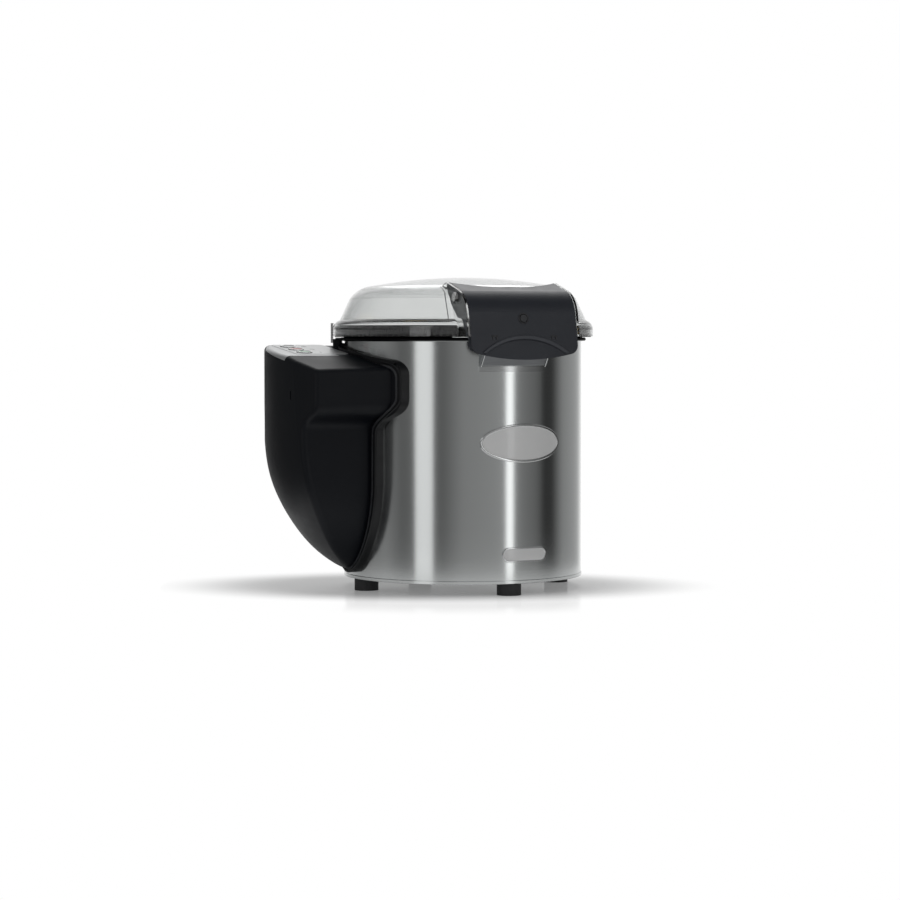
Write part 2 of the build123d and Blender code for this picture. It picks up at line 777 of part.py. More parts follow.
with BuildPart() as casing:
    add(casing_form(0))
    add(wrap_band(casing_seat + flange_t, 150, 0))
    add(casing_form(casing_wall), mode=Mode.SUBTRACT)
    # tower that carries the lid sensor up beside the rim
    with BuildSketch(tower_at(362)):
        with Locations((191, 0)):
            RectangleRounded(13, 30, 3)
    extrude(amount=15)
    # posts for the circuit board and wells for the keys
    with BuildSketch(panel_at(board_drop)):
        with GridLocations(76, 90, 2, 2):
            Circle(3.5)
    extrude(amount=board_drop - 1)
    with BuildSketch(panel_at(5)):
        with Locations(*[(key_x, y) for _, y in key_places]):
            Circle(key_r + move_gap)
    extrude(amount=8, mode=Mode.SUBTRACT)
    # cable gland hole low in the rear flank
    with BuildSketch(gland_plane.offset(-10)):
        Circle(8)
    extrude(amount=20, mode=Mode.SUBTRACT)
    with BuildSketch(Plane.XY):
        Circle(casing_seat)
    extrude(amount=400, mode=Mode.SUBTRACT)
    for turn, height in screw_places:
        with BuildSketch(wall_plane(turn, body_r - 5, height)):
            Circle(screw_r)
        extrude(amount=casing_seat + flange_t - 1 - (body_r - 5), mode=Mode.SUBTRACT)
    # narrow upright vent in the outer face
    vent_turn = radians(180 + 9.4)
    vent_out = Vector(cos(vent_turn), sin(vent_turn), 0)
    with BuildSketch(Plane(origin=vent_out * 304.5 + Vector(0, 0, 295), x_dir=(0, 0, 1), z_dir=vent_out)):
        SlotOverall(13, 2.6)
    extrude(amount=10, mode=Mode.SUBTRACT)
casing.part.label = "casing"

# Rubber edging of U section, pushed on the casing's flange and squeezed against the cylinder.
edging_t = 2.4
with BuildPart() as casing_gasket:
    add(wrap_band(casing_seat + flange_t + edging_t, body_r, edging_t))
    add(wrap_band(casing_seat + flange_t, casing_seat, 0), mode=Mode.SUBTRACT)
    add(wrap_band(casing_seat + 20, body_r - 10, -5.5), mode=Mode.SUBTRACT)
    add(casing_form(0), mode=Mode.SUBTRACT)
    with BuildSketch(tower_at(340)):
        with Locations((191, 0)):
            RectangleRounded(13.2, 30.2, 3.1)
    extrude(amount=50, mode=Mode.SUBTRACT)
    for turn, height in screw_places:
        with BuildSketch(wall_plane(turn, body_r - 5, height)):
            Circle(screw_r)
        extrude(amount=20, mode=Mode.SUBTRACT)
casing_gasket.part.label = "casing_gasket"

# Screws put in from inside the cylinder, into blind holes in the casing's flange.
with BuildPart() as casing_screws:
    for turn, height in screw_places:
        with BuildSketch(wall_plane(turn, inner_r - 0.05, height)):
            Circle(screw_r)
        extrude(amount=casing_seat + flange_t - 2 - inner_r)
        with BuildSketch(wall_plane(turn, inner_r - 0.05, height)):
            Circle(3.5)
        extrude(amount=-1.8)
casing_screws.part.label = "casing_screws"

# Control panel: a thin metal face on the roof, pierced for the keys.
with BuildPart() as control_panel:
    with BuildSketch(panel_at(0)):
        RectangleRounded(84, 112, 8)
        with Locations(*[(key_x, y) for _, y in key_places]):
            Circle(key_r + move_gap, mode=Mode.SUBTRACT)
    extrude(amount=0.8)
control_panel.part.label = "control_panel"

# Keys: round caps held up by their switches, each with a collar under the roof.
keys = []
for key_name, key_y in key_places:
    with BuildPart() as key:
        with BuildSketch(panel_at(6.2)):
            with Locations((key_x, key_y)):
                Circle(key_r)
        extrude(amount=8.2)
        fillet(key.faces().sort_by(Axis.Z)[-1].edges(), 0.8)
        with BuildSketch(panel_at(6.2)):
            with Locations((key_x, key_y)):
                Circle(key_r + 1.8)
        extrude(amount=6.2 - casing_wall - move_gap)
    key.part.label = key_name
    keys.append(key)

# Circuit board on its posts, with a switch under each key and a few large parts.
with BuildPart() as circuit_board:
    with BuildSketch(panel_at(board_drop + 1.6)):
        Rectangle(84, 98)
    extrude(amount=1.6)
    with BuildSketch(panel_at(board_drop)):
        with Locations(*[(key_x, y) for _, y in key_places]):
            Rectangle(7, 7)
    extrude(amount=2.4)
    with BuildSketch(panel_at(board_drop + 1.6)):
        with Locations((22, -30), (22, 0), (22, 30)):
            Rectangle(24, 18)
    extrude(amount=-14)
circuit_board.part.label = "circuit_board"

# Steel back plate for the electrical gear, on stand-offs from the cylinder.
back_x = -196.0
with BuildPart() as electrical_plate:
    with BuildSketch(side_plane(back_x)):
        with Locations((0, 225)):
            RectangleRounded(96, 200, 6)
    extrude(amount=1.5)
    with BuildSketch(side_plane(back_x)):
        with Locations((0, 225)):
            with GridLocations(80, 180, 2, 2):
                Circle(5)
    extrude(amount=30)
    with BuildSketch(Plane.XY):
        Circle(body_r)
    extrude(amount=400, mode=Mode.SUBTRACT)
electrical_plate.part.label = "electrical_plate"

# Contactor for the motor: a moulded block with stepped terminal decks.
with BuildPart() as contactor:
    with BuildSketch(Plane.XY.offset(240)):
        with Locations((back_x - 15, -23)):
            Rectangle(30, 44)
    extrude(amount=76)
    with BuildSketch(Plane.XY.offset(254)):
        with Locations((back_x - 27, -23)):
            Rectangle(54, 44)
    extrude(amount=48)
    for deck_z in (240, 302):
        with BuildSketch(Plane.XY.offset(deck_z)):
            with Locations((back_x - 22, -23)):
                with GridLocations(1, 14, 1, 3):
                    Rectangle(17, 9)
        extrude(amount=14, mode=Mode.SUBTRACT)
contactor.part.label = "contactor"

# Control transformer: laminated frame with a winding on its middle limb.
with BuildPart() as transformer:
    with BuildSketch(Plane.XY.offset(250)):
        with Locations((back_x - 20, 24)):
            Rectangle(40, 42)
    extrude(amount=54)
    for window in (-14, 14):
        with BuildSketch(rear_plane(0, 277 + window)):
            with Locations((-back_x + 20, 0)):
                Rectangle(34, 14)
        extrude(amount=60, mode=Mode.SUBTRACT)
    with BuildSketch(side_plane(back_x - 42)):
        with Locations((24, 277)):
            RectangleRounded(40, 40, 6)
            Rectangle(38, 14, mode=Mode.SUBTRACT)
    extrude(amount=41)
transformer.part.label = "transformer"

# Motor capacitor in its clip.
with BuildPart() as capacitor:
    with BuildSketch(Plane.XY.offset(140)):
        with Locations((back_x - 22, 0)):
            Circle(20)
    extrude(amount=92)
    fillet(capacitor.edges().filter_by(GeomType.CIRCLE), 2)
    with BuildSketch(Plane.XY.offset(178)):
        with Locations((back_x - 22, 0)):
            Circle(21.5)
        with Locations((back_x - 8, 0)):
            Rectangle(16, 36)
    extrude(amount=14)
capacitor.part.label = "capacitor"

# Cable gland in the rear flank: hexagon outside, lock nut inside, sealing dome.
with BuildPart() as cable_gland:
    for start, radius, length, sides in (
        (-casing_wall - 4.5, 11.5, 4.5, 6), (-14, 8, 24, 0), (0, 12, 7, 6), (7, 10.5, 9, 0),
    ):
        with BuildSketch(gland_plane.offset(start)):
            if sides:
                RegularPolygon(radius, sides)
            else:
                Circle(radius)
        extrude(amount=length)
    with BuildSketch(gland_plane.offset(-14)):
        Circle(4.5)
    extrude(amount=40, mode=Mode.SUBTRACT)
cable_gland.part.label = "cable_gland"

# Sensor in the tower's head, read by the tab on the lid.
with BuildPart() as lid_sensor:
    with BuildSketch(tower_at(377)):
        with Locations((190, 0)):
            RectangleRounded(8, 18, 2)
    extrude(amount=2)
lid_sensor.part.label = "lid_sensor"

# -------------------------------------------------------------------- lid


def lid_form(inset):
    """The lid's form as a solid of revolution, drawn in by inset."""
    floor_at = lid_z if inset == 0 else lid_z - 1
    with BuildPart() as made:
        with BuildSketch(Plane.XZ):
            with BuildLine():
                skirt = lid_r - inset
                Line((0, floor_at), (skirt, floor_at))
                Line((skirt, floor_at), (skirt, 391))
                ThreePointArc((skirt, 391), (skirt - 2.2, 399), (skirt - 7.5, 404 - inset))
                Line((skirt - 7.5, 404 - inset), (187 - inset, 406 - inset * 0.6))
                Line((187 - inset, 406 - inset * 0.6), (172 - inset * 0.9, 438 - inset * 0.4))
                ThreePointArc(
                    (172 - inset * 0.9, 438 - inset * 0.4), (160.5 - inset * 0.65, 449.5 - inset * 0.75),
                    (137.5 - inset * 0.2, 457.5 - inset),
                )
                crown = Vector(137.5 - inset * 0.2, 457.5 - inset)
                drop = lid_top - inset - crown.Y
                crown_r = (crown.X**2 + drop**2) / (2 * drop)
                middle_z = lid_top - inset - crown_r + sqrt(crown_r**2 - 70**2)
                ThreePointArc((crown.X, crown.Y), (70, middle_z), (0, lid_top - inset))
                Line((0, lid_top - inset), (0, floor_at))
            make_face()
        revolve(axis=Axis.Z)
    return made.part


flap_front = Vector(0, -204.5, 416)  # where the flap's brow ends
flap_foot = Vector(0, -218, 340)


def flap_wire(depth):
    """Side view of the flap's skin, depth inside its outer face, as corner points."""
    return (
        (-134 + 0.3 * depth, 460 - depth), (-178 + 0.4 * depth, 447 - 0.9 * depth),
        (-197 + 0.75 * depth, 432 - 0.65 * depth), (flap_front.Y + depth, flap_front.Z - 0.25 * depth),
        (flap_foot.Y + depth, flap_foot.Z),
    )


def flap_section(x, depth, rear_corner, bottom_corner):
    """Face between the flap's skin at depth and two corners behind it."""
    top, brow, bend, front, bottom = flap_wire(depth)
    with BuildSketch(side_plane(x)) as section:
        with BuildLine():
            Line(top, brow)
            ThreePointArc(brow, bend, front)
            Polyline(front, bottom, bottom_corner, rear_corner, top)
        make_face()
    return section.sketch


def spout_plan(height, rear_middle, rear_side, half):
    """Plan view of the spout's opening, whose rear edge is a shallow arc."""
    with BuildSketch(Plane.XY.offset(height)) as plan:
        with BuildLine():
            ThreePointArc((-half, rear_side), (0, rear_middle), (half, rear_side))
            Polyline((half, rear_side), (half, -260), (-half, -260), (-half, rear_side))
        make_face()
    return plan.sketch


# Clear lid: a thin dome with a stepped skirt, and a spout with upright cheeks at the front.
with BuildPart() as lid_dome:
    add(lid_form(0))
    for side in (-1, 1):
        middle = side * (spout_half + cheek / 2)
        extrude(flap_section(middle, 0, (-112, 452), (-112, 340)), amount=cheek / 2, both=True)
    with BuildSketch(Plane.XY.offset(300)):
        Rectangle(600, 600)
    extrude(amount=lid_z - 300, mode=Mode.SUBTRACT)
    add(lid_form(lid_wall), mode=Mode.SUBTRACT)
    extrude(spout_plan(lid_z - 1, -153.5, -127.5, spout_half), amount=100, mode=Mode.SUBTRACT)
    with BuildSketch(side_plane(-120)):
        with Locations((pivot_y, pivot_z)):
            Circle(4)
    extrude(amount=240, mode=Mode.SUBTRACT)
lid_dome.part.label = "lid_dome"

# Black sealing ring inside the skirt, whose foot rests on the rolled rim.
with BuildPart() as lid_gasket:
    with BuildSketch(Plane.XY.offset(rim_z)):
        Circle(lid_r - lid_wall)
        Circle(inner_r, mode=Mode.SUBTRACT)
    extrude(amount=4)
    with BuildSketch(Plane.XY.offset(rim_z + 4)):
        Circle(lid_r - lid_wall - 1)
        Circle(186, mode=Mode.SUBTRACT)
    extrude(amount=13)
    extrude(spout_plan(rim_z - 1, -150.1, -150, spout_half + cheek), amount=30, mode=Mode.SUBTRACT)
lid_gasket.part.label = "lid_gasket"

# Tab riveted on the skirt, hanging down beside the sensor's tower.
with BuildPart() as interlock_tab:
    with BuildSketch(tower_at(371)):
        with Locations((lid_r + 1, 0)):
            Rectangle(4, 14)
    extrude(amount=30)
    with BuildSketch(Plane.XY.offset(360)):
        Circle(lid_r)
    extrude(amount=40, mode=Mode.SUBTRACT)
interlock_tab.part.label = "interlock_tab"

# Shoulder bolts that pivot the flap between the cheeks.
with BuildPart() as pivot_bolts:
    for side in (-1, 1):
        head = Plane(origin=(side * (spout_half + cheek), pivot_y, pivot_z), z_dir=(side, 0, 0))
        with BuildSketch(head):
            RegularPolygon(7, 6)
        extrude(amount=4)
        with BuildSketch(head):
            Circle(4)
        extrude(amount=-(spout_half + cheek - 79))
        with BuildSketch(head.offset(-(spout_half + cheek - 79))):
            Circle(6.5)
        extrude(amount=3.4)
pivot_bolts.part.label = "pivot_bolts"

# ------------------------------------------------------------------- flap

flap_run = (flap_foot - flap_front).normalized()  # down the flap's flat front
face_plane = Plane(
    origin=flap_front + flap_run * 9.2, x_dir=(1, 0, 0), z_dir=(0, flap_run.Z, -flap_run.Y)
)
grip_half = 70.0
grip_ends = -50.5  # heights on the flap's front, over the screw
grip_top = -25.0
grip_w = 6.5
grip_lift = 2.8

# Discharge flap: a bent skin with side ears, a bowed lower edge and a crescent grip.
with BuildPart() as discharge_flap:
    # the raised crescent
    with BuildSketch(face_plane):
        with BuildLine():
            inner_half = grip_half - 5
            ThreePointArc((-grip_half, grip_ends), (0, grip_top), (grip_half, grip_ends))
            Line((grip_half, grip_ends), (inner_half, grip_ends - 2))
            ThreePointArc((inner_half, grip_ends - 2), (0, grip_top - grip_w), (-inner_half, grip_ends - 2))
            Line((-inner_half, grip_ends - 2), (-grip_half, grip_ends))
        make_face()
    extrude(amount=grip_lift)
    fillet(discharge_flap.faces().sort_by(Axis((0, 0, 0), face_plane.z_dir))[-1].edges(), 1.4)
    extrude(flap_section(0, 0, (-100, 455), (-100, 340)), amount=flap_half, both=True)
    inside = flap_section(0, flap_wall, (-90, 462), (-90, 330))
    extrude(inside, amount=flap_half - flap_wall, both=True, mode=Mode.SUBTRACT)
    # the ears keep only what surrounds the pivot and follows the skin
    with BuildSketch(side_plane(-120)):
        with BuildLine():
            Polyline(
                (-60, 320), (-60, 449), (-128, 449), (-142, 446), (-154, 431), (-180, 412),
                (-201, 380), (-206, 320), close=True,
            )
        make_face()
    extrude(amount=240, mode=Mode.SUBTRACT)
    # concave top edge, seen from above
    with BuildSketch(Plane.XY.offset(400)):
        with BuildLine():
            ThreePointArc((-flap_half - 1, -134), (0, -158), (flap_half + 1, -134))
            Polyline((flap_half + 1, -134), (flap_half + 1, -80), (-flap_half - 1, -80), (-flap_half - 1, -134))
        make_face()
    extrude(amount=100, mode=Mode.SUBTRACT)
    # bowed lower edge with rounded corners, seen from the front
    with BuildSketch(front_plane(-90)) as front_shape:
        with BuildLine():
            ThreePointArc((-flap_half, 358), (0, 347), (flap_half, 358))
            Polyline((flap_half, 358), (flap_half, 480), (-flap_half, 480), (-flap_half, 358))
        make_face()
        fillet([v for v in front_shape.vertices() if v.Y < 400], 14)
    extrude(amount=160, mode=Mode.INTERSECT)
    # running holes for the pivot bolts and the screw's hole
    with BuildSketch(side_plane(-120)):
        with Locations((pivot_y, pivot_z)):
            Circle(4 + run_gap)
    extrude(amount=240, mode=Mode.SUBTRACT)
    with BuildSketch(face_plane):
        Circle(2)
    extrude(amount=-10, mode=Mode.SUBTRACT)
discharge_flap.part.label = "discharge_flap"

# Round-headed screw in the middle of the flap, which holds the magnet behind it.
with BuildPart() as flap_screw:
    with BuildSketch(face_plane):
        Circle(6)
    extrude(amount=1.6, taper=20)
    with BuildSketch(face_plane):
        Circle(2)
    extrude(amount=-9)
flap_screw.part.label = "flap_screw"

with BuildPart() as flap_magnet:
    with BuildSketch(face_plane.offset(-flap_wall - 0.15)):
        Circle(8)
        Circle(2, mode=Mode.SUBTRACT)
    extrude(amount=-5)
flap_magnet.part.label = "flap_magnet"

# Rubber strip behind the flap's foot, which closes on the chute's pouring edge.
with BuildPart() as flap_seal:
    with BuildSketch(face_plane.offset(-flap_wall)):
        with Locations((0, -41.5)):
            Rectangle(104, 8)
    extrude(amount=-4.4)
    fillet(flap_seal.faces().sort_by(Axis.Y)[-1].edges().filter_by(Axis.X), 1.5)
flap_seal.part.label = "flap_seal"

# ---------------------------------------------------------------- hand-out

pieces = [
    body_shell, base_plate, *feet, foot_studs, discharge_chute, chamber_floor,
    abrasive_liner, bearing_housing, housing_bolts, shaft_bearings, shaft_seal,
    drain_elbow, drain_seal, water_inlet, spray_nozzle, main_shaft, drive_pin, driven_pulley,
    pulley_bolt, disc_carrier, abrasive_coat, disc_cap, motor_shelf, motor_frame,
    motor_shields, motor_bearings, motor_stator, fan_cowl, motor_bolts,
    motor_shaft, rotor_core, motor_pulley, cooling_fan, drive_belt, casing, casing_gasket,
    casing_screws, control_panel, *keys, circuit_board, electrical_plate, contactor, transformer,
    capacitor, cable_gland, lid_sensor, lid_dome, lid_gasket, interlock_tab, pivot_bolts, discharge_flap,
    flap_screw, flap_magnet, flap_seal,
]
for piece in pieces:
    export_step(piece.part, f"parts/{piece.part.label}.step")
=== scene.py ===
from math import asin, atan2, cos, pi, radians, sin, sqrt

import bmesh
import bpy
from mathutils import Matrix, Vector


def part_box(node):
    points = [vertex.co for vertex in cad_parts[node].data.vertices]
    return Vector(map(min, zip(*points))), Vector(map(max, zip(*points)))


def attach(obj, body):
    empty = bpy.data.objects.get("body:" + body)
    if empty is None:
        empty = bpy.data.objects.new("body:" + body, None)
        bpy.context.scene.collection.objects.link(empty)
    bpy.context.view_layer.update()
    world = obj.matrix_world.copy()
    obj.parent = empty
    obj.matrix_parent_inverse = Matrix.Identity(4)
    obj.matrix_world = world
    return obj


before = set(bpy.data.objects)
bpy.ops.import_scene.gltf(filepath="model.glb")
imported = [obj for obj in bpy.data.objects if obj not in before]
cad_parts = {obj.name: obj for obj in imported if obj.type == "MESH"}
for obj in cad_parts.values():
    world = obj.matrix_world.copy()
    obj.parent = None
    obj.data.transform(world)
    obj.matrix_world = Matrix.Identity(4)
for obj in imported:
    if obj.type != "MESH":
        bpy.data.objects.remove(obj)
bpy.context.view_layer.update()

# ------------------------------------------------------------------ the set
# A bench peeler stands on a white table. The eye is level with the lid's flange,
# a little to the left of the flap. The table is a satin white board in a white
# room, lit by two upright softboxes in front and a broad one high up behind.

eye_turn = radians(25.2)  # how far the eye stands to the left of straight in front
eye_distance = 4.0
eye_height = 0.3815
eye_tilt = radians(2.49)  # looking down
eye_swing = radians(0.28)  # and a little left of the cylinder's axis

camera_data = bpy.data.cameras.new("eye")
camera_data.lens = 104.9
camera_data.sensor_width = 36.0
camera = bpy.data.objects.new("eye", camera_data)
camera.location = (-eye_distance * sin(eye_turn), -eye_distance * cos(eye_turn), eye_height)
camera.rotation_euler = (pi / 2 - eye_tilt, 0, eye_swing - eye_turn)
bpy.context.collection.objects.link(camera)
bpy.context.scene.camera = camera
bpy.context.scene.view_settings.view_transform = "Standard"


class Wire:
    """A node's output. Arithmetic on it adds Math nodes to its shader."""

    def __init__(self, shader, socket):
        self.shader = shader
        self.socket = socket

    def maths(self, operation, first, second):
        return self.shader.node("ShaderNodeMath", {"operation": operation}, {0: first, 1: second})

    def __add__(self, other):
        return self.maths("ADD", self, other)

    def __sub__(self, other):
        return self.maths("SUBTRACT", self, other)

    def __rsub__(self, other):
        return self.maths("SUBTRACT", other, self)

    def __mul__(self, other):
        return self.maths("MULTIPLY", self, other)

    def __truediv__(self, other):
        return self.maths("DIVIDE", self, other)

    __radd__ = __add__
    __rmul__ = __mul__


class Shader:
    """The nodes of one material, or of the room round the table."""

    def __init__(self, owner):
        self.owner = owner
        owner.use_nodes = True
        self.nodes = owner.node_tree.nodes
        self.links = owner.node_tree.links

    def node(self, kind, settings=None, inputs=None, output=0):
        """Adds a node: first its settings, then the values or links of its sockets."""
        made = self.nodes.new(kind)
        for name, setting in (settings or {}).items():
            if name == "stops":
                ramp = made.color_ramp
                ramp.elements.remove(ramp.elements[1])
                ramp.elements[0].position = setting[0][0]
                ramp.elements[0].color = (*setting[0][1], 1)
                for position, colour in setting[1:]:
                    ramp.elements.new(position).color = (*colour, 1)
            else:
                setattr(made, name, setting)
        for name, value in (inputs or {}).items():
            self.feed(made.inputs[name], value)
        return Wire(self, made.outputs[output])

    def feed(self, socket, value):
        """Gives a socket a link, a number or a colour."""
        if isinstance(value, Wire):
            self.links.new(value.socket, socket)
        elif isinstance(value, tuple) and len(value) < len(socket.default_value):
            socket.default_value = (*value, 1)
        else:
            socket.default_value = value

    def mix(self, share, first, second):
        """A colour between two others."""
        settings = {"data_type": "RGBA", "clamp_factor": True}
        return self.node("ShaderNodeMix", settings, {0: share, 6: first, 7: second}, output=2)

    def most(self, first, second):
        """The larger of two values."""
        return self.node("ShaderNodeMath", {"operation": "MAXIMUM"}, {0: first, 1: second})

    def length(self, across, along):
        """The length of a line from the two legs it spans."""
        return self.node("ShaderNodeMath", {"operation": "SQRT"}, {0: across * across + along * along})

    def between(self, value, start, end, first=0.0, last=1.0, easing="SMOOTHSTEP"):
        """Goes from first to last while value goes from start to end."""
        return self.node("ShaderNodeMapRange", {"interpolation_type": easing}, {
            "Value": value, "From Min": start, "From Max": end, "To Min": first, "To Max": last,
        })

    def axes(self, vector):
        """The x, y and z of a vector."""
        split = self.node("ShaderNodeSeparateXYZ", inputs={0: vector}).socket.node
        return [Wire(self, output) for output in split.outputs]

    def rays(self, *kinds):
        """For each kind of ray, 1 where the ray is of that kind and 0 elsewhere."""
        path = self.node("ShaderNodeLightPath").socket.node
        return [Wire(self, path.outputs[f"Is {kind} Ray"]) for kind in kinds]

    def find(self, kind):
        """The node of a kind that the owner came with."""
        return next(node for node in self.nodes if node.type == kind)

    def ramp(self, value, *stops):
        """A grey that follows value through stops of position and brightness."""
        greys = [(position, (grey, grey, grey)) for position, grey in stops]
        return self.node("ShaderNodeValToRGB", {"stops": greys}, {"Fac": value})


room = Shader(bpy.data.worlds.new("room"))
bpy.context.scene.world = room.owner
east, north, _ = room.axes(room.node("ShaderNodeTexCoord", output="Generated"))
# turn about the upright axis, as 0 to 1, with the eye's own side in the middle
turned_x = east * cos(eye_turn) - north * sin(eye_turn)
turned_y = east * sin(eye_turn) + north * cos(eye_turn)
bearing = room.node("ShaderNodeMath", {"operation": "ARCTAN2"}, {0: turned_x, 1: 0 - turned_y})
bearing = bearing / (2 * pi) + 0.5
# dark flags stand at both sides of the machine, pale card between the lamps
walls = room.ramp(
    bearing,
    (0.0, 0.9), (0.045, 0.65), (0.085, 0.2), (0.125, 0.09), (0.18, 0.15), (0.222, 0.28),
    (0.278, 0.32), (0.328, 0.17), (0.444, 0.15), (0.5, 0.34), (0.597, 0.4), (0.667, 0.26),
    (0.711, 0.19), (0.739, 0.04), (0.769, 0.05), (0.814, 0.36), (0.889, 0.48), (0.95, 0.75),
    (1.0, 0.9),
)
# the white room behind the machine shows in metal too
backdrop = room.ramp(bearing, (0.0, 1.0), (0.04, 1.0), (0.08, 0.0), (0.92, 0.0), (0.96, 1.0))
from_eye, through, mirrored = room.rays("Camera", "Transmission", "Glossy")
seen = room.most(room.most(from_eye, through), mirrored * backdrop)
room_light = room.find("BACKGROUND")
room.feed(room_light.inputs["Color"], room.mix(seen, walls, (1.0, 1.0, 1.0)))
room_light.inputs["Strength"].default_value = 1.0


lamp_distance = 2.6
lamp_aim = Vector((0, 0, 0.25))  # the middle of the machine


def softbox(name, bearing_off, height, wide, tall, radiance):
    """A soft lamp that faces the machine, turned to the right of the eye by an angle."""
    turn = bearing_off - eye_turn
    lamp_data = bpy.data.lights.new(name, "AREA")
    lamp_data.shape = "RECTANGLE"
    lamp_data.size = wide
    lamp_data.size_y = tall
    lamp_data.energy = radiance * pi * wide * tall
    lamp = bpy.data.objects.new(name, lamp_data)
    lamp.location = (lamp_distance * sin(turn), -lamp_distance * cos(turn), height)
    lamp.rotation_euler = (lamp_aim - lamp.location).to_track_quat("-Z", "Y").to_euler()
    bpy.context.collection.objects.link(lamp)


softbox("left_softbox", radians(-36.5), height=0.8, wide=0.86, tall=2.6, radiance=1.15)
softbox("right_softbox", radians(44.6), height=0.8, wide=0.36, tall=2.6, radiance=1.85)
softbox("top_softbox", radians(170), height=2.7, wide=2.6, tall=2.2, radiance=1.05)

table_r = 0.46
table_shade = 0.17  # radius about the machine inside which the table shows its shadow
table_fade = 0.33  # and beyond which it is as white as the room
wide_zone, deep_zone = 0.74, 1.2  # scale that zone across and towards the eye
zone_shift = 0.045  # how far its middle lies to the casing's side
table_satin = 0.14  # share of gloss where the shadow lies
shadow_fill = 0.14  # share of plain white that lifts the shadow
white_gloss, gloss_fade = 0.2, 0.3  # share of gloss in the white part, and where it begins to fade
board = Shader(bpy.data.materials.new("table_board"))
spot_x, spot_y, _ = board.axes(board.node("ShaderNodeTexCoord", output="Object"))
zone_x = (spot_x * cos(eye_turn) - spot_y * sin(eye_turn) + zone_shift) * wide_zone
zone_y = (spot_x * sin(eye_turn) + spot_y * cos(eye_turn)) * deep_zone
away = board.between(board.length(zone_x, zone_y), table_shade, table_fade)
from_eye, through, mirrored = board.rays("Camera", "Transmission", "Glossy")
looked_at = board.most(board.most(from_eye, through), mirrored)
mottle = board.node("ShaderNodeTexNoise", inputs={"Scale": 6.0})
board_colour = board.mix(mottle * 0.3, (0.8, 0.8, 0.8), (0.77, 0.77, 0.78))
matt = board.node("ShaderNodeBsdfDiffuse", inputs={"Color": board_colour})
glint = board.node("ShaderNodeBsdfGlossy", inputs={"Color": (1.0, 1.0, 1.0), "Roughness": 0.1})
satin = board.node("ShaderNodeMixShader", inputs={0: table_satin, 1: matt, 2: glint})
glow = board.node("ShaderNodeEmission", inputs={"Color": (1.0, 1.0, 1.0), "Strength": 1.0})
lifted = board.node("ShaderNodeMixShader", inputs={0: looked_at * shadow_fill, 1: satin, 2: glow})
gloss = board.between(board.length(spot_x, spot_y), gloss_fade, table_r - 0.01, white_gloss, 0.0)
mirroring = board.node("ShaderNodeMixShader", inputs={0: gloss, 1: glow, 2: glint})
faded = board.node("ShaderNodeMixShader", inputs={0: away * looked_at, 1: lifted, 2: mirroring})
board.links.new(faded.socket, board.find("OUTPUT_MATERIAL").inputs["Surface"])


def link_mesh(name, shape, shader):
    """A new object from a bmesh, with one material."""
    mesh = bpy.data.meshes.new(name)
    shape.to_mesh(mesh)
    shape.free()
    mesh.materials.append(shader.owner)
    made = bpy.data.objects.new(name, mesh)
    bpy.context.collection.objects.link(made)
    return made


table_shape = bmesh.new()
bmesh.ops.create_circle(table_shape, cap_ends=True, segments=128, radius=table_r)
link_mesh("table", table_shape, board)

# ------------------------------------------------------- cylinder and chute
# The body is one sheet of 1.2 mm stainless steel, butt welded and rolled over
# at the rim. The fine polish runs round it, so every light is drawn out into an
# upright band. The discharge chute is bent from the same sheet and spot welded on.


class Finish(Shader):
    """A material for the machine's own surfaces, on a Principled shader."""

    def __init__(self, name):
        super().__init__(bpy.data.materials.new(name))
        self.surface = self.find("BSDF_PRINCIPLED")
        self.place = self.node("ShaderNodeTexCoord", output="Object")

    def cloud(self, scale, stretch=(1.0, 1.0, 1.0), detail=3.0):
        """Soft noise of so many waves to the metre, denser along an axis that is stretched."""
        spread = self.node("ShaderNodeMapping", inputs={"Vector": self.place, "Scale": stretch})
        return self.node("ShaderNodeTexNoise", inputs={"Vector": spread, "Scale": scale, "Detail": detail})

    def cells(self, scale):
        """Distance to the nearest grain centre, for cast or moulded grain."""
        return self.node("ShaderNodeTexVoronoi", inputs={"Vector": self.place, "Scale": scale})

    def relief(self, height, distance):
        """Fine relief of so many metres."""
        self.feed(self.surface.inputs["Normal"], self.node(
            "ShaderNodeBump", inputs={"Height": height, "Distance": distance, "Strength": 1.0}
        ))

    def wear(self, **sockets):
        """Feeds the surface's own sockets, named with _ for a space."""
        for name, value in sockets.items():
            self.feed(self.surface.inputs[name.replace("_", " ")], value)


def dress(finish, *nodes):
    """Gives the machine's solid parts their finish."""
    for node in nodes:
        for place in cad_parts[node].material_slots:
            place.material = finish.owner


polished_steel = Finish("polished_steel")
polish = polished_steel.cloud(7.0, stretch=(1.0, 1.0, 260.0), detail=5.0)
handling = polished_steel.cloud(5.0)
polished_steel.wear(
    Base_Color=polished_steel.mix(handling * 0.5 + polish * 0.5, (0.47, 0.485, 0.485), (0.53, 0.545, 0.54)),
    Metallic=1.0,
    Roughness=0.145 + polish * 0.05 + handling * 0.03,
    Anisotropic=0.45,
    Anisotropic_Rotation=0.25,
)
polished_steel.relief(polish, 0.000006)
dress(polished_steel, "body_shell")

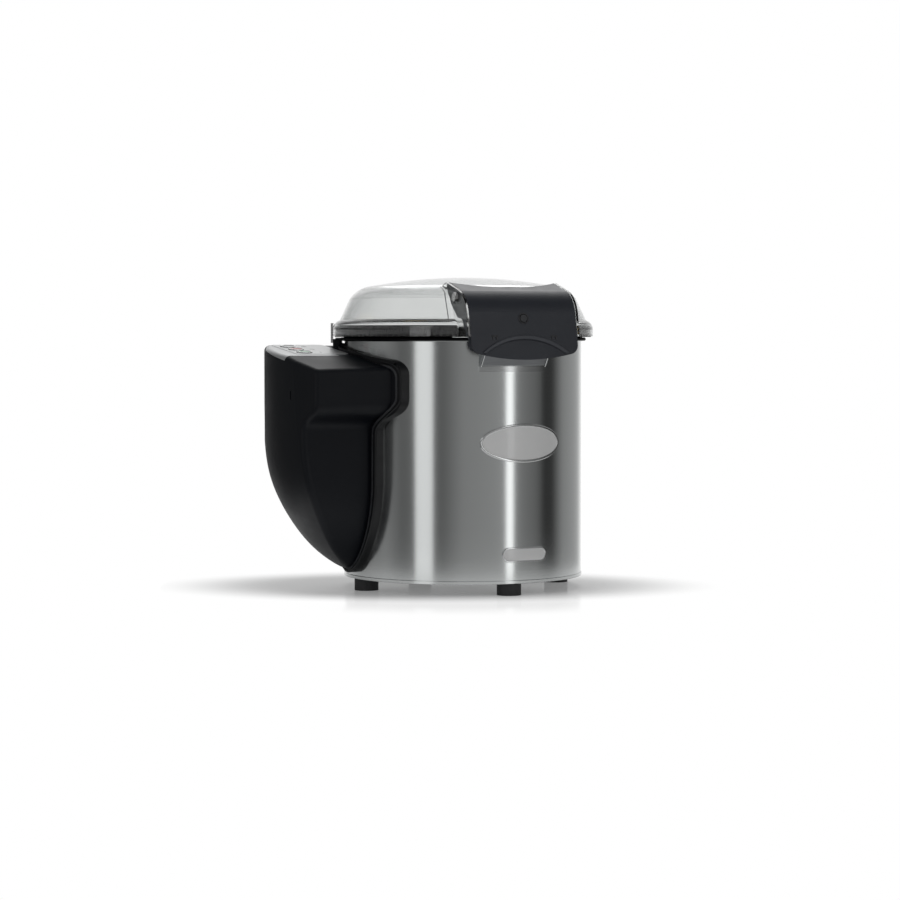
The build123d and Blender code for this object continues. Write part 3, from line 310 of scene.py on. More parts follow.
scoop_root_z, scoop_bend = 0.3365, 0.0025  # where the scoop leaves its flange, and that bend's height
scoop_steel = Finish("scoop_steel")
scoop_tone = scoop_steel.cloud(60.0, stretch=(1.0, 1.0, 6.0))
_, _, scoop_level = scoop_steel.axes(scoop_steel.place)
# above its flange the scoop's face is painted dark and rougher: painted shade, the reflection of the shade
# under the flap; the flange keeps the wall's polish
painted_shade_above_flange = scoop_steel.between(scoop_level, scoop_root_z, scoop_root_z + scoop_bend, easing="LINEAR")
scoop_steel.wear(
    Base_Color=scoop_steel.mix(
        painted_shade_above_flange, scoop_steel.mix(scoop_tone, (0.36, 0.37, 0.37), (0.46, 0.47, 0.47)),
        scoop_steel.mix(scoop_tone, (0.105, 0.11, 0.115), (0.155, 0.16, 0.165)),
    ),
    Metallic=1.0, Roughness=0.17 + painted_shade_above_flange * 0.1 + scoop_tone * 0.05,
)
dress(scoop_steel, "discharge_chute")

# ------------------------------------------------------------- blank plates
# Two blank plates are bonded to the cylinder's front: an oval one at half height
# and a small capsule near the foot. Each is a pressed steel frame with a field
# of pale enamel, curved to the wall.

wall_r = 0.18


def wall_point(turn, lift, across, height):
    """A point on the cylinder's wall: across metres round from a turn, lift outside it."""
    angle = turn + across / wall_r
    return ((wall_r + lift) * cos(angle), (wall_r + lift) * sin(angle), height)


def plate_outline(half_wide, half_tall, straight, inset):
    """Points (across, up) round a plate with rounded ends and, unless straight is 0, level runs."""
    steps = 24  # to each quarter, and to half of a level run
    top = half_tall - inset
    upper = []
    for step in range(steps):
        turn = pi / 2 * step / steps
        upper.append((straight + cos(turn) * (half_wide - straight - inset), sin(turn) * top))
    if straight:
        upper += [(straight * (1 - step / steps), top) for step in range(steps)]
    upper += [(0.0, top)] + [(-across, up) for across, up in reversed(upper)]
    return upper + [(across, -up) for across, up in reversed(upper[1:-1])]


def curved_plate(name, shader, place, sizes, profile, closed_front):
    """A plate whose rings, each (inset, lift), follow the cylinder's wall."""
    turn, level = place
    shape = bmesh.new()
    rings = []
    for inset, lift in profile:
        outline = plate_outline(*sizes, inset)
        points = [wall_point(turn, lift, across, level + up) for across, up in outline]
        rings.append([shape.verts.new(point) for point in points])
    steps = len(rings[0])
    joined = list(zip(rings, rings[1:]))
    if not closed_front:
        joined.append((rings[-1], rings[0]))
    for outer, inner in joined:
        for step in range(steps):
            after = (step + 1) % steps
            shape.faces.new((outer[step], outer[after], inner[after], inner[step]))
    if closed_front:
        for ring in (rings[0], rings[-1]):
            for step in range(steps // 2):
                corners = (ring[step], ring[step + 1], ring[steps - step - 1], ring[(steps - step) % steps])
                shape.faces.new(list(dict.fromkeys(corners)))
    bmesh.ops.recalc_face_normals(shape, faces=shape.faces)
    made = link_mesh(name, shape, shader)
    made.data.shade_smooth()
    made.data.set_sharp_from_angle(angle=radians(35))
    return made


bright_frame = Finish("bright_frame")
frame_polish = bright_frame.cloud(900.0)
bright_frame.wear(
    Base_Color=bright_frame.mix(frame_polish, (0.5, 0.51, 0.51), (0.62, 0.63, 0.63)),
    Metallic=1.0, Roughness=0.14 + frame_polish * 0.1,
)
pale_enamel = Finish("pale_enamel")
enamel_cloud = pale_enamel.cloud(60.0)
pale_enamel.wear(
    Base_Color=pale_enamel.mix(enamel_cloud, (0.84, 0.85, 0.85), (0.9, 0.9, 0.895)),
    Roughness=0.2 + enamel_cloud * 0.08, Coat_Weight=0.3,
)
# each plate's turn and height, its half width, half height and half level run, and its frame's width
for plate_name, plate_place, plate_sizes, edge in (
    ("oval_plate", (radians(-85.4), 0.2245), (0.069, 0.0285, 0.0), 0.004),
    ("capsule_plate", (radians(-84.4), 0.0605), (0.038, 0.011, 0.027), 0.0024),
):
    rim_profile = (
        (0.0, -0.0004), (0.0, 0.0010), (edge * 0.25, 0.0017), (edge * 0.75, 0.0017),
        (edge, 0.0011), (edge, -0.0004),
    )
    field_profile = ((edge, -0.0002), (edge, 0.0010), (edge * 1.6, 0.0013))
    for part, shader, profile, filled, slot in (
        ("_frame", bright_frame, rim_profile, False, "fastener_steel"),
        ("_field", pale_enamel, field_profile, True, "panel_face"),
    ):
        plate_piece = curved_plate(plate_name + part, shader, plate_place, plate_sizes, profile, filled)
        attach(plate_piece, "base")

# --------------------------------------------------------- base plate, feet
# The base is zinc plated sheet pressed into the cylinder's foot. Four rubber
# feet are moulded round studs and nutted through it. Fasteners are bright steel.

zinc_sheet = Finish("zinc_sheet")
spangle = zinc_sheet.cells(140.0)
zinc_cloud = zinc_sheet.cloud(18.0)
zinc_sheet.wear(
    Base_Color=zinc_sheet.mix(spangle * 0.7 + zinc_cloud * 0.3, (0.5, 0.515, 0.52), (0.66, 0.67, 0.665)),
    Metallic=1.0, Roughness=0.34 + zinc_cloud * 0.16,
)
zinc_sheet.relief(zinc_cloud, 0.0001)
dress(zinc_sheet, "base_plate", "motor_shelf", "electrical_plate")

black_rubber = Finish("black_rubber")
rubber_bloom = black_rubber.cloud(45.0)
rubber_grain = black_rubber.cloud(2600.0)
black_rubber.wear(
    Base_Color=black_rubber.mix(rubber_bloom, (0.011, 0.0115, 0.013), (0.024, 0.0245, 0.026)),
    Roughness=0.52 + rubber_bloom * 0.18,
)
black_rubber.relief(rubber_grain, 0.00008)
dress(
    black_rubber, "foot_right", "foot_rear", "foot_left", "foot_front", "shaft_seal", "drain_seal",
    "drive_belt", "flap_seal",
)

bright_fastener = Finish("bright_fastener")
tumbling = bright_fastener.cloud(700.0)
bright_fastener.wear(
    Base_Color=bright_fastener.mix(tumbling, (0.52, 0.52, 0.52), (0.7, 0.7, 0.69)),
    Metallic=1.0, Roughness=0.18 + tumbling * 0.16,
)
dress(
    bright_fastener, "foot_studs", "housing_bolts", "pulley_bolt", "motor_bolts", "casing_screws",
    "pivot_bolts",
)

# ---------------------------------------------------------- peeling chamber
# The pan, the bearing housing and the disc's carrier are cast aluminium, lightly
# blasted. The disc and the liner carry a bonded coat of grit that rubs the skins
# off; the cap over the hub is turned steel.

cast_alloy = Finish("cast_alloy")
blasting = cast_alloy.cells(900.0)
casting_tone = cast_alloy.cloud(20.0)
cast_alloy.wear(
    Base_Color=cast_alloy.mix(casting_tone * 0.6 + blasting * 0.4, (0.48, 0.48, 0.475), (0.63, 0.63, 0.62)),
    Metallic=1.0, Roughness=0.42 + casting_tone * 0.18,
)
cast_alloy.relief(blasting, 0.00025)
dress(cast_alloy, "chamber_floor", "bearing_housing", "driven_pulley", "disc_carrier", "motor_shields")

bonded_grit = Finish("bonded_grit")
grains = bonded_grit.cells(620.0)
grit_tone = bonded_grit.cloud(35.0)
bonded_grit.wear(
    Base_Color=bonded_grit.mix(grains * 0.7 + grit_tone * 0.3, (0.29, 0.275, 0.25), (0.085, 0.08, 0.075)),
    Roughness=0.7 + grit_tone * 0.2,
)
bonded_grit.relief(0.6 - grains, 0.0012)
dress(bonded_grit, "abrasive_liner", "abrasive_coat")

turned_steel = Finish("turned_steel")
lathe_marks = turned_steel.cloud(40.0, stretch=(1.0, 1.0, 60.0))
turned_steel.wear(
    Base_Color=turned_steel.mix(lathe_marks, (0.4, 0.4, 0.405), (0.56, 0.56, 0.555)),
    Metallic=1.0, Roughness=0.2 + lathe_marks * 0.16,
)
turned_steel.relief(lathe_marks, 0.00004)
dress(
    turned_steel, "disc_cap", "main_shaft", "drive_pin", "shaft_bearings", "motor_shaft",
    "motor_bearings", "motor_pulley", "interlock_tab",
)

# -------------------------------------------------------------------- motor
# An upright induction motor stands on the shelf beside the shaft: a painted
# finned frame and fan cowl, copper windings, stacked laminations, moulded fan.

motor_paint = Finish("motor_paint")
orange_peel = motor_paint.cloud(320.0)
motor_paint.wear(
    Base_Color=motor_paint.mix(motor_paint.cloud(14.0), (0.10, 0.13, 0.155), (0.14, 0.17, 0.2)),
    Roughness=0.36 + orange_peel * 0.14,
)
motor_paint.relief(orange_peel, 0.00012)
dress(motor_paint, "motor_frame", "fan_cowl")

wound_copper = Finish("wound_copper")
turns_of_wire = wound_copper.cloud(60.0, stretch=(1.0, 1.0, 22.0))
wound_copper.wear(
    Base_Color=wound_copper.mix(turns_of_wire, (0.30, 0.13, 0.06), (0.52, 0.26, 0.12)),
    Metallic=0.7, Roughness=0.3 + turns_of_wire * 0.2,
)
wound_copper.relief(turns_of_wire, 0.0004)
dress(wound_copper, "motor_stator")

stacked_laminations = Finish("stacked_laminations")
stacking = stacked_laminations.cloud(30.0, stretch=(0.2, 0.2, 40.0))
stacked_laminations.wear(
    Base_Color=stacked_laminations.mix(stacking, (0.13, 0.13, 0.135), (0.27, 0.27, 0.28)),
    Metallic=0.8, Roughness=0.4 + stacking * 0.2,
)
stacked_laminations.relief(stacking, 0.0002)
dress(stacked_laminations, "rotor_core", "transformer", "flap_magnet")

grey_moulding = Finish("grey_moulding")
grey_tone = grey_moulding.cloud(25.0)
grey_moulding.wear(
    Base_Color=grey_moulding.mix(grey_tone, (0.25, 0.26, 0.275), (0.32, 0.33, 0.345)),
    Roughness=0.42 + grey_tone * 0.12,
)
grey_moulding.relief(grey_moulding.cloud(1800.0), 0.00006)
dress(grey_moulding, "cooling_fan", "contactor", "capacitor", "lid_sensor", "drain_elbow")

# ---------------------------------------------------------- water and waste
# A machined brass union brings water to a fan-shaped spray nozzle of the same
# bar; their faces keep the marks of the tool.

machined_brass = Finish("machined_brass")
tool_marks = machined_brass.cloud(50.0, stretch=(1.0, 40.0, 1.0))
machined_brass.wear(
    Base_Color=machined_brass.mix(tool_marks, (0.48, 0.34, 0.13), (0.66, 0.5, 0.22)),
    Metallic=1.0, Roughness=0.24 + tool_marks * 0.16,
)
machined_brass.relief(tool_marks, 0.00005)
dress(machined_brass, "water_inlet", "spray_nozzle")

# ------------------------------------------------------------------- casing
# The side casing is one deep moulding in black plastic with a fine satin grain.
# Its flange is edged with rubber: a round lip outside, and a row of small ribs
# within it, painted pale as a painted highlight, with a bead at their root.

black_moulding = Finish("black_moulding")
mould_grain = black_moulding.cells(1500.0)
mould_tone = black_moulding.cloud(7.0)
rubbed = black_moulding.cloud(28.0, detail=5.0)
black_moulding.wear(
    Base_Color=black_moulding.mix(mould_tone, (0.0028, 0.0038, 0.0062), (0.0042, 0.0056, 0.0088)),
    Roughness=0.36 + mould_tone * 0.08 + rubbed * 0.12,
    Specular_IOR_Level=0.2,
)
black_moulding.relief(mould_grain, 0.00007)
dress(black_moulding, "casing", "cable_gland")


def rib_nodes(name):
    """Geometry Nodes that lay upright ribs, and a bead where wanted, along a curve round the cylinder."""
    tree = bpy.data.node_groups.new(name, "GeometryNodeTree")
    sizes = (("Pitch", 0.003), ("Rib Radius", 0.0005), ("Rib Length", 0.004), ("Bead Radius", 0.0))
    tree.interface.new_socket("Geometry", in_out="INPUT", socket_type="NodeSocketGeometry")
    for label, size in sizes:
        tree.interface.new_socket(label, in_out="INPUT", socket_type="NodeSocketFloat").default_value = size
    tree.interface.new_socket("Finish", in_out="INPUT", socket_type="NodeSocketMaterial")
    tree.interface.new_socket("Geometry", in_out="OUTPUT", socket_type="NodeSocketGeometry")

    def add(kind, settings=None, **inputs):
        made = tree.nodes.new(kind)
        for setting, value in (settings or {}).items():
            setattr(made, setting, value)
        for label, value in inputs.items():
            socket = made.inputs[label.replace("_", " ")]
            if isinstance(value, bpy.types.NodeSocket):
                tree.links.new(value, socket)
            else:
                socket.default_value = value
        return made

    given = add("NodeGroupInput").outputs
    spaced = add(
        "GeometryNodeResampleCurve", {"mode": "LENGTH"}, Curve=given["Geometry"], Length=given["Pitch"]
    )
    along = add("GeometryNodeInputTangent").outputs[0]
    radial = add("ShaderNodeVectorMath", {"operation": "MULTIPLY"})
    tree.links.new(add("GeometryNodeInputPosition").outputs[0], radial.inputs[0])
    radial.inputs[1].default_value = (1, 1, 0)
    across = add("ShaderNodeVectorMath", {"operation": "CROSS_PRODUCT"})
    tree.links.new(radial.outputs[0], across.inputs[0])
    tree.links.new(along, across.inputs[1])
    upright = add("FunctionNodeAlignRotationToVector", {"axis": "Z"}, Vector=across.outputs[0])
    faced = add(
        "FunctionNodeAlignRotationToVector", {"axis": "X", "pivot_axis": "Z"},
        Rotation=upright.outputs[0], Vector=radial.outputs[0],
    )
    rib = add("GeometryNodeMeshCylinder", Vertices=6, Radius=given["Rib Radius"], Depth=given["Rib Length"])
    ribs = add(
        "GeometryNodeInstanceOnPoints", Points=spaced.outputs[0], Instance=rib.outputs["Mesh"],
        Rotation=faced.outputs[0],
    )
    section = add("GeometryNodeCurvePrimitiveCircle", Resolution=10, Radius=given["Bead Radius"])
    tube = add(
        "GeometryNodeCurveToMesh", Curve=given["Geometry"], Profile_Curve=section.outputs["Curve"],
        Fill_Caps=True,
    )
    # a plain bead, with ribs of no radius, gets none
    ribbed = add("FunctionNodeCompare", {"operation": "GREATER_THAN"}, A=given["Rib Radius"], B=0.0)
    chosen = add("GeometryNodeSwitch", {"input_type": "GEOMETRY"}, Switch=ribbed.outputs[0])
    tree.links.new(ribs.outputs[0], chosen.inputs["True"])
    both = add("GeometryNodeJoinGeometry")
    tree.links.new(chosen.outputs[0], both.inputs[0])
    tree.links.new(tube.outputs[0], both.inputs[0])
    real = add("GeometryNodeRealizeInstances", Geometry=both.outputs[0])
    coated = add("GeometryNodeSetMaterial", Geometry=real.outputs[0], Material=given["Finish"])
    tree.links.new(coated.outputs[0], add("NodeGroupOutput").inputs["Geometry"])
    return tree


ribbing = rib_nodes("ribbing")


def ribbed_band(name, route, closed, sizes):
    """A plain mesh of ribs along a route, made by the ribbing nodes."""
    line = bpy.data.curves.new(name + "_route", "CURVE")
    line.dimensions = "3D"
    spline = line.splines.new("POLY")
    spline.points.add(len(route) - 1)
    for place, point in zip(spline.points, route):
        place.co = (*point, 1)
    spline.use_cyclic_u = closed
    guide = bpy.data.objects.new(name + "_route", line)
    bpy.context.collection.objects.link(guide)
    maker = guide.modifiers.new("ribbing", "NODES")
    maker.node_group = ribbing
    for item in ribbing.interface.items_tree:
        if item.in_out == "INPUT" and item.name in sizes:
            maker[item.identifier] = sizes[item.name]
    ready = guide.evaluated_get(bpy.context.evaluated_depsgraph_get())
    mesh = bpy.data.meshes.new_from_object(ready)
    guide.modifiers.remove(maker)
    bpy.data.objects.remove(guide)
    made = bpy.data.objects.new(name, mesh)
    bpy.context.collection.objects.link(made)
    return made


roof_slope = 0.017 / 0.142  # the roof rises to the rear
flange_upper, flange_lower = 0.111, 0.071  # half widths of the flange, above and below its waist
flange_front, flange_crest = 0.341, 0.3535  # its height at the front and at the roof's crest
flange_corner = 0.02
crest_y = -0.035
shoulder, waist, tail, tail_end = 0.290, 0.240, 0.172, 0.030


def flange_line(grow, radius):
    """A line that follows the casing's flange, grown by some metres and wrapped round the cylinder."""
    upper, lower, corner = flange_upper + grow, flange_lower + grow, flange_corner + grow
    rear = flange_crest + grow + (upper - crest_y) * roof_slope
    front = flange_front + grow
    quarter = [pi / 2 * step / 6 for step in range(7)]
    flat = [(upper - corner * (1 - cos(turn)), rear - corner * (1 - sin(turn))) for turn in quarter]
    flat.append((crest_y, flange_crest + grow))
    flat += [(-upper + corner * (1 - sin(turn)), front - corner * (1 - cos(turn))) for turn in quarter]
    eased = [(step / 12, (step / 12) ** 2 * (3 - step / 6)) for step in range(13)]
    step_in = upper - lower
    flat += [(-upper + step_in * ease, shoulder + (waist - shoulder) * share) for share, ease in eased]
    for step in range(1, 24):
        turn = pi * step / 24
        flat.append((-lower * cos(turn), tail - (tail - tail_end + grow) * sin(turn)))
    flat += [(lower + step_in * ease, waist + (shoulder - waist) * share) for share, ease in eased]
    return [(-sqrt(radius**2 - y**2), y, z) for y, z in flat]


edging_rubber = Finish("edging_rubber")
edging_tone = edging_rubber.cloud(90.0)
edging_rubber.wear(
    Base_Color=edging_rubber.mix(edging_tone, (0.0025, 0.003, 0.0042), (0.005, 0.0058, 0.007)),
    Roughness=0.3 + edging_tone * 0.2, Specular_IOR_Level=0.3,
)
dress(edging_rubber, "casing_gasket")
# the ribs' pale colour is a painted highlight, standing in for glints on their rounded tops
worn_rubber = Finish("worn_rubber")
rib_highlight_cloud = worn_rubber.cloud(260.0)
worn_rubber.wear(
    Base_Color=worn_rubber.mix(rib_highlight_cloud, (0.012, 0.013, 0.015), (0.085, 0.09, 0.1)),
    Roughness=0.3 + rib_highlight_cloud * 0.2,
)
casing_ribs = {
    "Pitch": 0.0027, "Rib Radius": 0.0009, "Rib Length": 0.0034, "Bead Radius": 0.0004,
    "Finish": worn_rubber.owner,
}


def bead(radius, finish):
    """Sizes for a plain round bead."""
    return {"Rib Radius": 0.0, "Bead Radius": radius, "Finish": finish.owner}


# each edging's line, by how far it is grown and its radius about the cylinder's axis
for edging_name, edging_grow, edging_r, edging_sizes in (
    ("casing_lip", 0.0008, 0.1900, bead(0.0022, edging_rubber)),
    ("casing_ribbing", -0.0040, 0.1906, casing_ribs),
    ("casing_root_bead", -0.0068, 0.1886, bead(0.0013, edging_rubber)),
):
    edging = ribbed_band(edging_name, flange_line(edging_grow, edging_r), True, edging_sizes)
    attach(edging, "base")

# --------------------------------------------------------------- scoop rods
# A thin bright steel rod lies along each bent side of the discharge
# scoop, a painted highlight standing in for the glint on that edge.

scoop_half, scoop_lip_r, scoop_lip_z = 0.052, 0.205, 0.3715
scoop_root_r = wall_r + 0.0012  # the cylinder's wall and the scoop's own sheet
for rod_name, rod_side in (("scoop_rod_left", -1), ("scoop_rod_right", 1)):
    rod_route = []
    for step in range(9):
        out_r = scoop_root_r + (scoop_lip_r - scoop_root_r) * step / 8
        rod_z = scoop_root_z + (scoop_lip_z - scoop_root_z) * step / 8
        rod_route.append((rod_side * scoop_half, -sqrt(out_r**2 - scoop_half**2), rod_z))
    scoop_highlight_rod = ribbed_band(rod_name, rod_route, False, bead(0.0007, bright_frame))
    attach(scoop_highlight_rod, "base")

# ------------------------------------------------------------ control panel
# A thin cover of satin metal is pressed over the end of the casing's roof, and
# the panel is bonded on it. Each key has a pressed bezel, and beside it a
# printed mark: a bar, a ring, and a clock.

panel_metal = Finish("panel_metal")
panel_grain = panel_metal.cloud(30.0, stretch=(60.0, 1.0, 1.0))
panel_metal.wear(
    Base_Color=panel_metal.mix(panel_grain, (0.42, 0.43, 0.435), (0.5, 0.51, 0.515)),
    Metallic=0.4, Roughness=0.26 + panel_grain * 0.12,
)
dress(panel_metal, "control_panel")

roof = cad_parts["casing"]
to_roof = roof.matrix_world.inverted()
casing_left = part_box("casing")[0][0]
roof_crest = 0.352  # the roof's height at its crest
end_width = 0.03  # width of the roof's end along which it isn't flat
above_roof = 0.42  # a height clear of the roof, from which it is felt for
cover_front, cover_rear, cover_right = crest_y + 0.0015, 0.0935, casing_left + 0.088
cover_drop = 0.0068  # how far the cover comes down over the rounded end at the front
cover_rise = 0.04  # and how much less that is towards the rear, to the metre
cover_steps = 40  # in each direction
cover_halvings = 18  # find its lower edge to well under a micrometre
cover_gather = 2.2  # draws the rows together towards the rounded end
cover_gap, cover_sheet = 0.0001, 0.0004  # heights of its two faces over the roof


def flat_height(y):
    """The height of the roof's flat middle."""
    return roof_crest + (y - crest_y) * roof_slope


def roof_height(x, y):
    """The height of the casing's roof, as if its flat middle had no holes for the keys."""
    if x > casing_left + end_width:
        return flat_height(y)
    start = to_roof @ Vector((x, y, above_roof))
    met, point, _, _ = roof.ray_cast(start, to_roof.to_3x3() @ Vector((0, 0, -1)))
    return (roof.matrix_world @ point).z if met else 0.0


def sheet(shape, rows):
    """Faces over rows of vertices."""
    for row, after in zip(rows, rows[1:]):
        for step in range(len(row) - 1):
            shape.faces.new((row[step], row[step + 1], after[step + 1], after[step]))


def borders(rows):
    """The four borders of rows of vertices."""
    return rows[0], rows[-1], [row[0] for row in rows], [row[-1] for row in rows]


cover = bmesh.new()
under = []
for along in range(cover_steps + 1):
    y = cover_front + (cover_rear - cover_front) * along / cover_steps
    lowest = flat_height(y) - cover_drop + (y - cover_front) * cover_rise
    outside, edge_x = casing_left - 0.001, casing_left + end_width
    for _ in range(cover_halvings):
        # halves the gap that the cover's lower edge lies in
        middle = (outside + edge_x) / 2
        if roof_height(middle, y) < lowest:
            outside = middle
        else:
            edge_x = middle
    row = []
    for step in range(cover_steps + 1):
        x = edge_x + (cover_right - edge_x) * (step / cover_steps) ** cover_gather
        row.append(cover.verts.new((x, y, roof_height(x, y))))
    under.append(row)
sheet(cover, under)
cover.normal_update()
over = [[cover.verts.new(vert.co + vert.normal * cover_sheet) for vert in row] for row in under]
for row in under:
    for vert in row:
        vert.co += vert.normal * cover_gap
sheet(cover, over)
for low, high in zip(borders(under), borders(over)):
    sheet(cover, (low, high))
bmesh.ops.recalc_face_normals(cover, faces=cover.faces)
roof_cover = link_mesh("roof_cover", cover, panel_metal)
roof_cover.data.shade_smooth()
roof_cover.data.set_sharp_from_angle(angle=radians(40))
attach(roof_cover, "base")

for cap_node, cap_dark, cap_light in (
    ("start_key", (0.03, 0.24, 0.08), (0.05, 0.34, 0.12)),
    ("stop_key", (0.4, 0.02, 0.02), (0.55, 0.045, 0.04)),
    ("timer_key", (0.09, 0.1, 0.11), (0.14, 0.15, 0.16)),
):
    key_cap = Finish(cap_node + "_cap")
    touch = key_cap.cloud(160.0)
    key_cap.wear(Base_Color=key_cap.mix(touch, cap_dark, cap_light), Roughness=0.3 + touch * 0.12)
    key_cap.relief(key_cap.cloud(2400.0), 0.00005)
    dress(key_cap, cap_node)

panel_low, panel_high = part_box("control_panel")
panel_slope = atan2(roof_slope, 1)
panel_middle = (Vector(panel_low) + Vector(panel_high)) / 2
on_panel = Matrix.Translation(panel_middle) @ Matrix.Rotation(panel_slope, 4, "X")
key_x = (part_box("stop_key")[0][0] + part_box("stop_key")[1][0]) / 2 - panel_middle.x
key_pitch = 0.034


def flat_band(shape, x, y, profile):
    """Turns a closed (radius, height) profile about a point of a flat face."""
    steps = 48
    rings = []
    for radius, height in profile:
        ring = []
        for step in range(steps):
            turn = 2 * pi * step / steps
            ring.append(shape.verts.new((x + radius * cos(turn), y + radius * sin(turn), height)))
        rings.append(ring)
    for ring, after in zip(rings, rings[1:] + rings[:1]):
        for step in range(steps):
            over = (step + 1) % steps
            shape.faces.new((ring[step], ring[over], after[over], after[step]))


def flat_bar(shape, place, sizes):
    """A bar in the middle of a place, along the face it lies on."""
    bar = bmesh.ops.create_cube(shape, size=1.0)["verts"]
    bmesh.ops.transform(shape, matrix=Matrix.Translation(place) @ Matrix.Diagonal((*sizes, 1)), verts=bar)


def on_the_panel(name, shape, shader):
    """Finishes a piece drawn flat and lays it on the panel."""
    bmesh.ops.transform(shape, matrix=on_panel, verts=shape.verts)
    bmesh.ops.recalc_face_normals(shape, faces=shape.faces)
    made = link_mesh(name, shape, shader)
    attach(made, "base")


bezels = bmesh.new()
prints = bmesh.new()
face = 0.0004  # the panel's face over its middle
for place_y in (-key_pitch, 0, key_pitch):
    flat_band(bezels, key_x, place_y, (
        (0.0096, face), (0.0096, face + 0.0010), (0.0102, face + 0.0014),
        (0.0116, face + 0.0012), (0.0124, face),
    ))
mark_x = key_x + 0.026
print_z = face + 0.00006
ink_layer = 0.00012
flat_bar(prints, (mark_x, -key_pitch, print_z), (0.0012, 0.007, ink_layer))
# a ring beside the middle key, and the rim and two hands of a clock beside the rear one
for mark_y, mark_r in ((0, 0.0036), (key_pitch, 0.0038)):
    flat_band(prints, mark_x, mark_y, (
        (mark_r, face), (mark_r, print_z), (mark_r - 0.0009, print_z), (mark_r - 0.0009, face)
    ))
flat_bar(prints, (mark_x, key_pitch + 0.0010, print_z), (0.0007, 0.0024, ink_layer))
flat_bar(prints, (mark_x + 0.0008, key_pitch, print_z), (0.0020, 0.0007, ink_layer))
on_the_panel("key_bezels", bezels, bright_frame)

print_ink = Finish("print_ink")
ink_cloud = print_ink.cloud(300.0)
print_ink.wear(
    Base_Color=print_ink.mix(ink_cloud, (0.03, 0.035, 0.04), (0.05, 0.055, 0.06)),
    Roughness=0.4 + ink_cloud * 0.2,
)
on_the_panel("panel_marks", prints, print_ink)

# -------------------------------------------------------- electrical fittings
# A circuit board of green coated laminate hangs under the casing's roof, just
# below the keys. The plate, contactor, transformer and capacitor near it are
# dressed above, with the pieces they share a material with.

circuit_laminate = Finish("circuit_laminate")
tracks = circuit_laminate.cells(260.0)
circuit_laminate.wear(
    Base_Color=circuit_laminate.mix(tracks, (0.03, 0.15, 0.06), (0.06, 0.24, 0.1)),
    Roughness=0.3 + tracks * 0.2,
)
dress(circuit_laminate, "circuit_board")

# ---------------------------------------------------------------------- lid
# The lid is moulded in smoke-clear plastic, polished; bright beads along the opening
# for the flap are a painted highlight on its clear edge. Its skirt covers a black sealing
# ring with fine upright ribs, and a black seal on the cylinder's rim is also painted shade under the skirt.

clear_plastic = Finish("clear_plastic")
haze = clear_plastic.cloud(9.0)
grazing = clear_plastic.node("ShaderNodeLayerWeight", inputs={"Blend": 0.35}, output="Facing")
clear_body = clear_plastic.mix(haze, (0.79, 0.8, 0.795), (0.85, 0.86, 0.855))
clear_plastic.wear(
    Base_Color=clear_plastic.mix(grazing * grazing, clear_body, (0.46, 0.475, 0.48)),
    Roughness=0.03 + haze * 0.05,
    Transmission_Weight=1.0,
    IOR=1.49,
)
dress(clear_plastic, "lid_dome")

seal_rubber = Finish("seal_rubber")
seal_tone = seal_rubber.cloud(70.0)
seal_rubber.wear(
    Base_Color=seal_rubber.mix(seal_tone, (0.002, 0.002, 0.0025), (0.005, 0.005, 0.006)),
    Roughness=0.5 + seal_tone * 0.2, Specular_IOR_Level=0.08,
)
dress(seal_rubber, "lid_gasket")

seal_low, seal_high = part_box("lid_gasket")
seal_r = (seal_high[0] - seal_low[0]) / 2 - 0.001
spout_half = 0.0915  # half the ring's gap at the spout
rib_level = seal_low[2] + 0.0105


def open_ring(radius, half_gap, height):
    """A line about the cylinder's axis that is open at the front."""
    gap = asin(half_gap / radius)
    turns = [-pi / 2 + gap + (2 * pi - 2 * gap) * step / 180 for step in range(181)]
    return [(radius * cos(turn), radius * sin(turn), height) for turn in turns]


gasket_ribs = ribbed_band("gasket_ribs", open_ring(seal_r, spout_half, rib_level), False, {
    "Pitch": 0.0036, "Rib Radius": 0.0007, "Rib Length": 0.0105, "Bead Radius": 0.0003,
    "Finish": seal_rubber.owner,
})
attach(gasket_ribs, "lid")

# the rim's black seal bead also serves as painted shade, for the shadow under the lid's skirt
rim_seal_r, rim_seal_z = 0.1845, 0.3768
notch_half = 0.062  # half the gap in the rim's seal, over the notch
rim_route = open_ring(rim_seal_r, notch_half, rim_seal_z)
rim_seal = ribbed_band("rim_seal", rim_route, False, bead(0.0027, seal_rubber))
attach(rim_seal, "base")

# the beads along the opening are a painted highlight: bright metal standing in for the glint on the clear
# plastic's edge
opening_half, opening_taper = 0.098, 0.006  # half the opening's width below, and how much less above
# radius and height of the dome along the opening's two sides
dome_line = (
    (0.187, 0.4062), (0.1795, 0.422), (0.172, 0.438), (0.1675, 0.4453), (0.1605, 0.4496),
    (0.149, 0.4542),
)
for bead_name, bead_side in (("opening_bead_left", -1), ("opening_bead_right", 1)):
    bead_route = []
    for step, (dome_r, dome_z) in enumerate(dome_line):
        bead_x = opening_half - opening_taper * step / (len(dome_line) - 1)
        bead_route.append((bead_side * bead_x, -sqrt(dome_r**2 - bead_x**2), dome_z))
    opening_highlight_bead = ribbed_band(bead_name, bead_route, False, bead(0.0008, bright_frame))
    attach(opening_highlight_bead, "lid")

# --------------------------------------------------------------------- flap
# The discharge flap is moulded in slate-grey plastic with a satin grain, with a
# painted highlight along its raised grip, and matt plates over its two ears. Two small
# spring clips hold the seal behind its lower edge; their heads show.

slate_moulding = Finish("slate_moulding")
slate_grain = slate_moulding.cells(1400.0)
slate_tone = slate_moulding.cloud(10.0)
slate_rub = slate_moulding.cloud(36.0, detail=5.0)
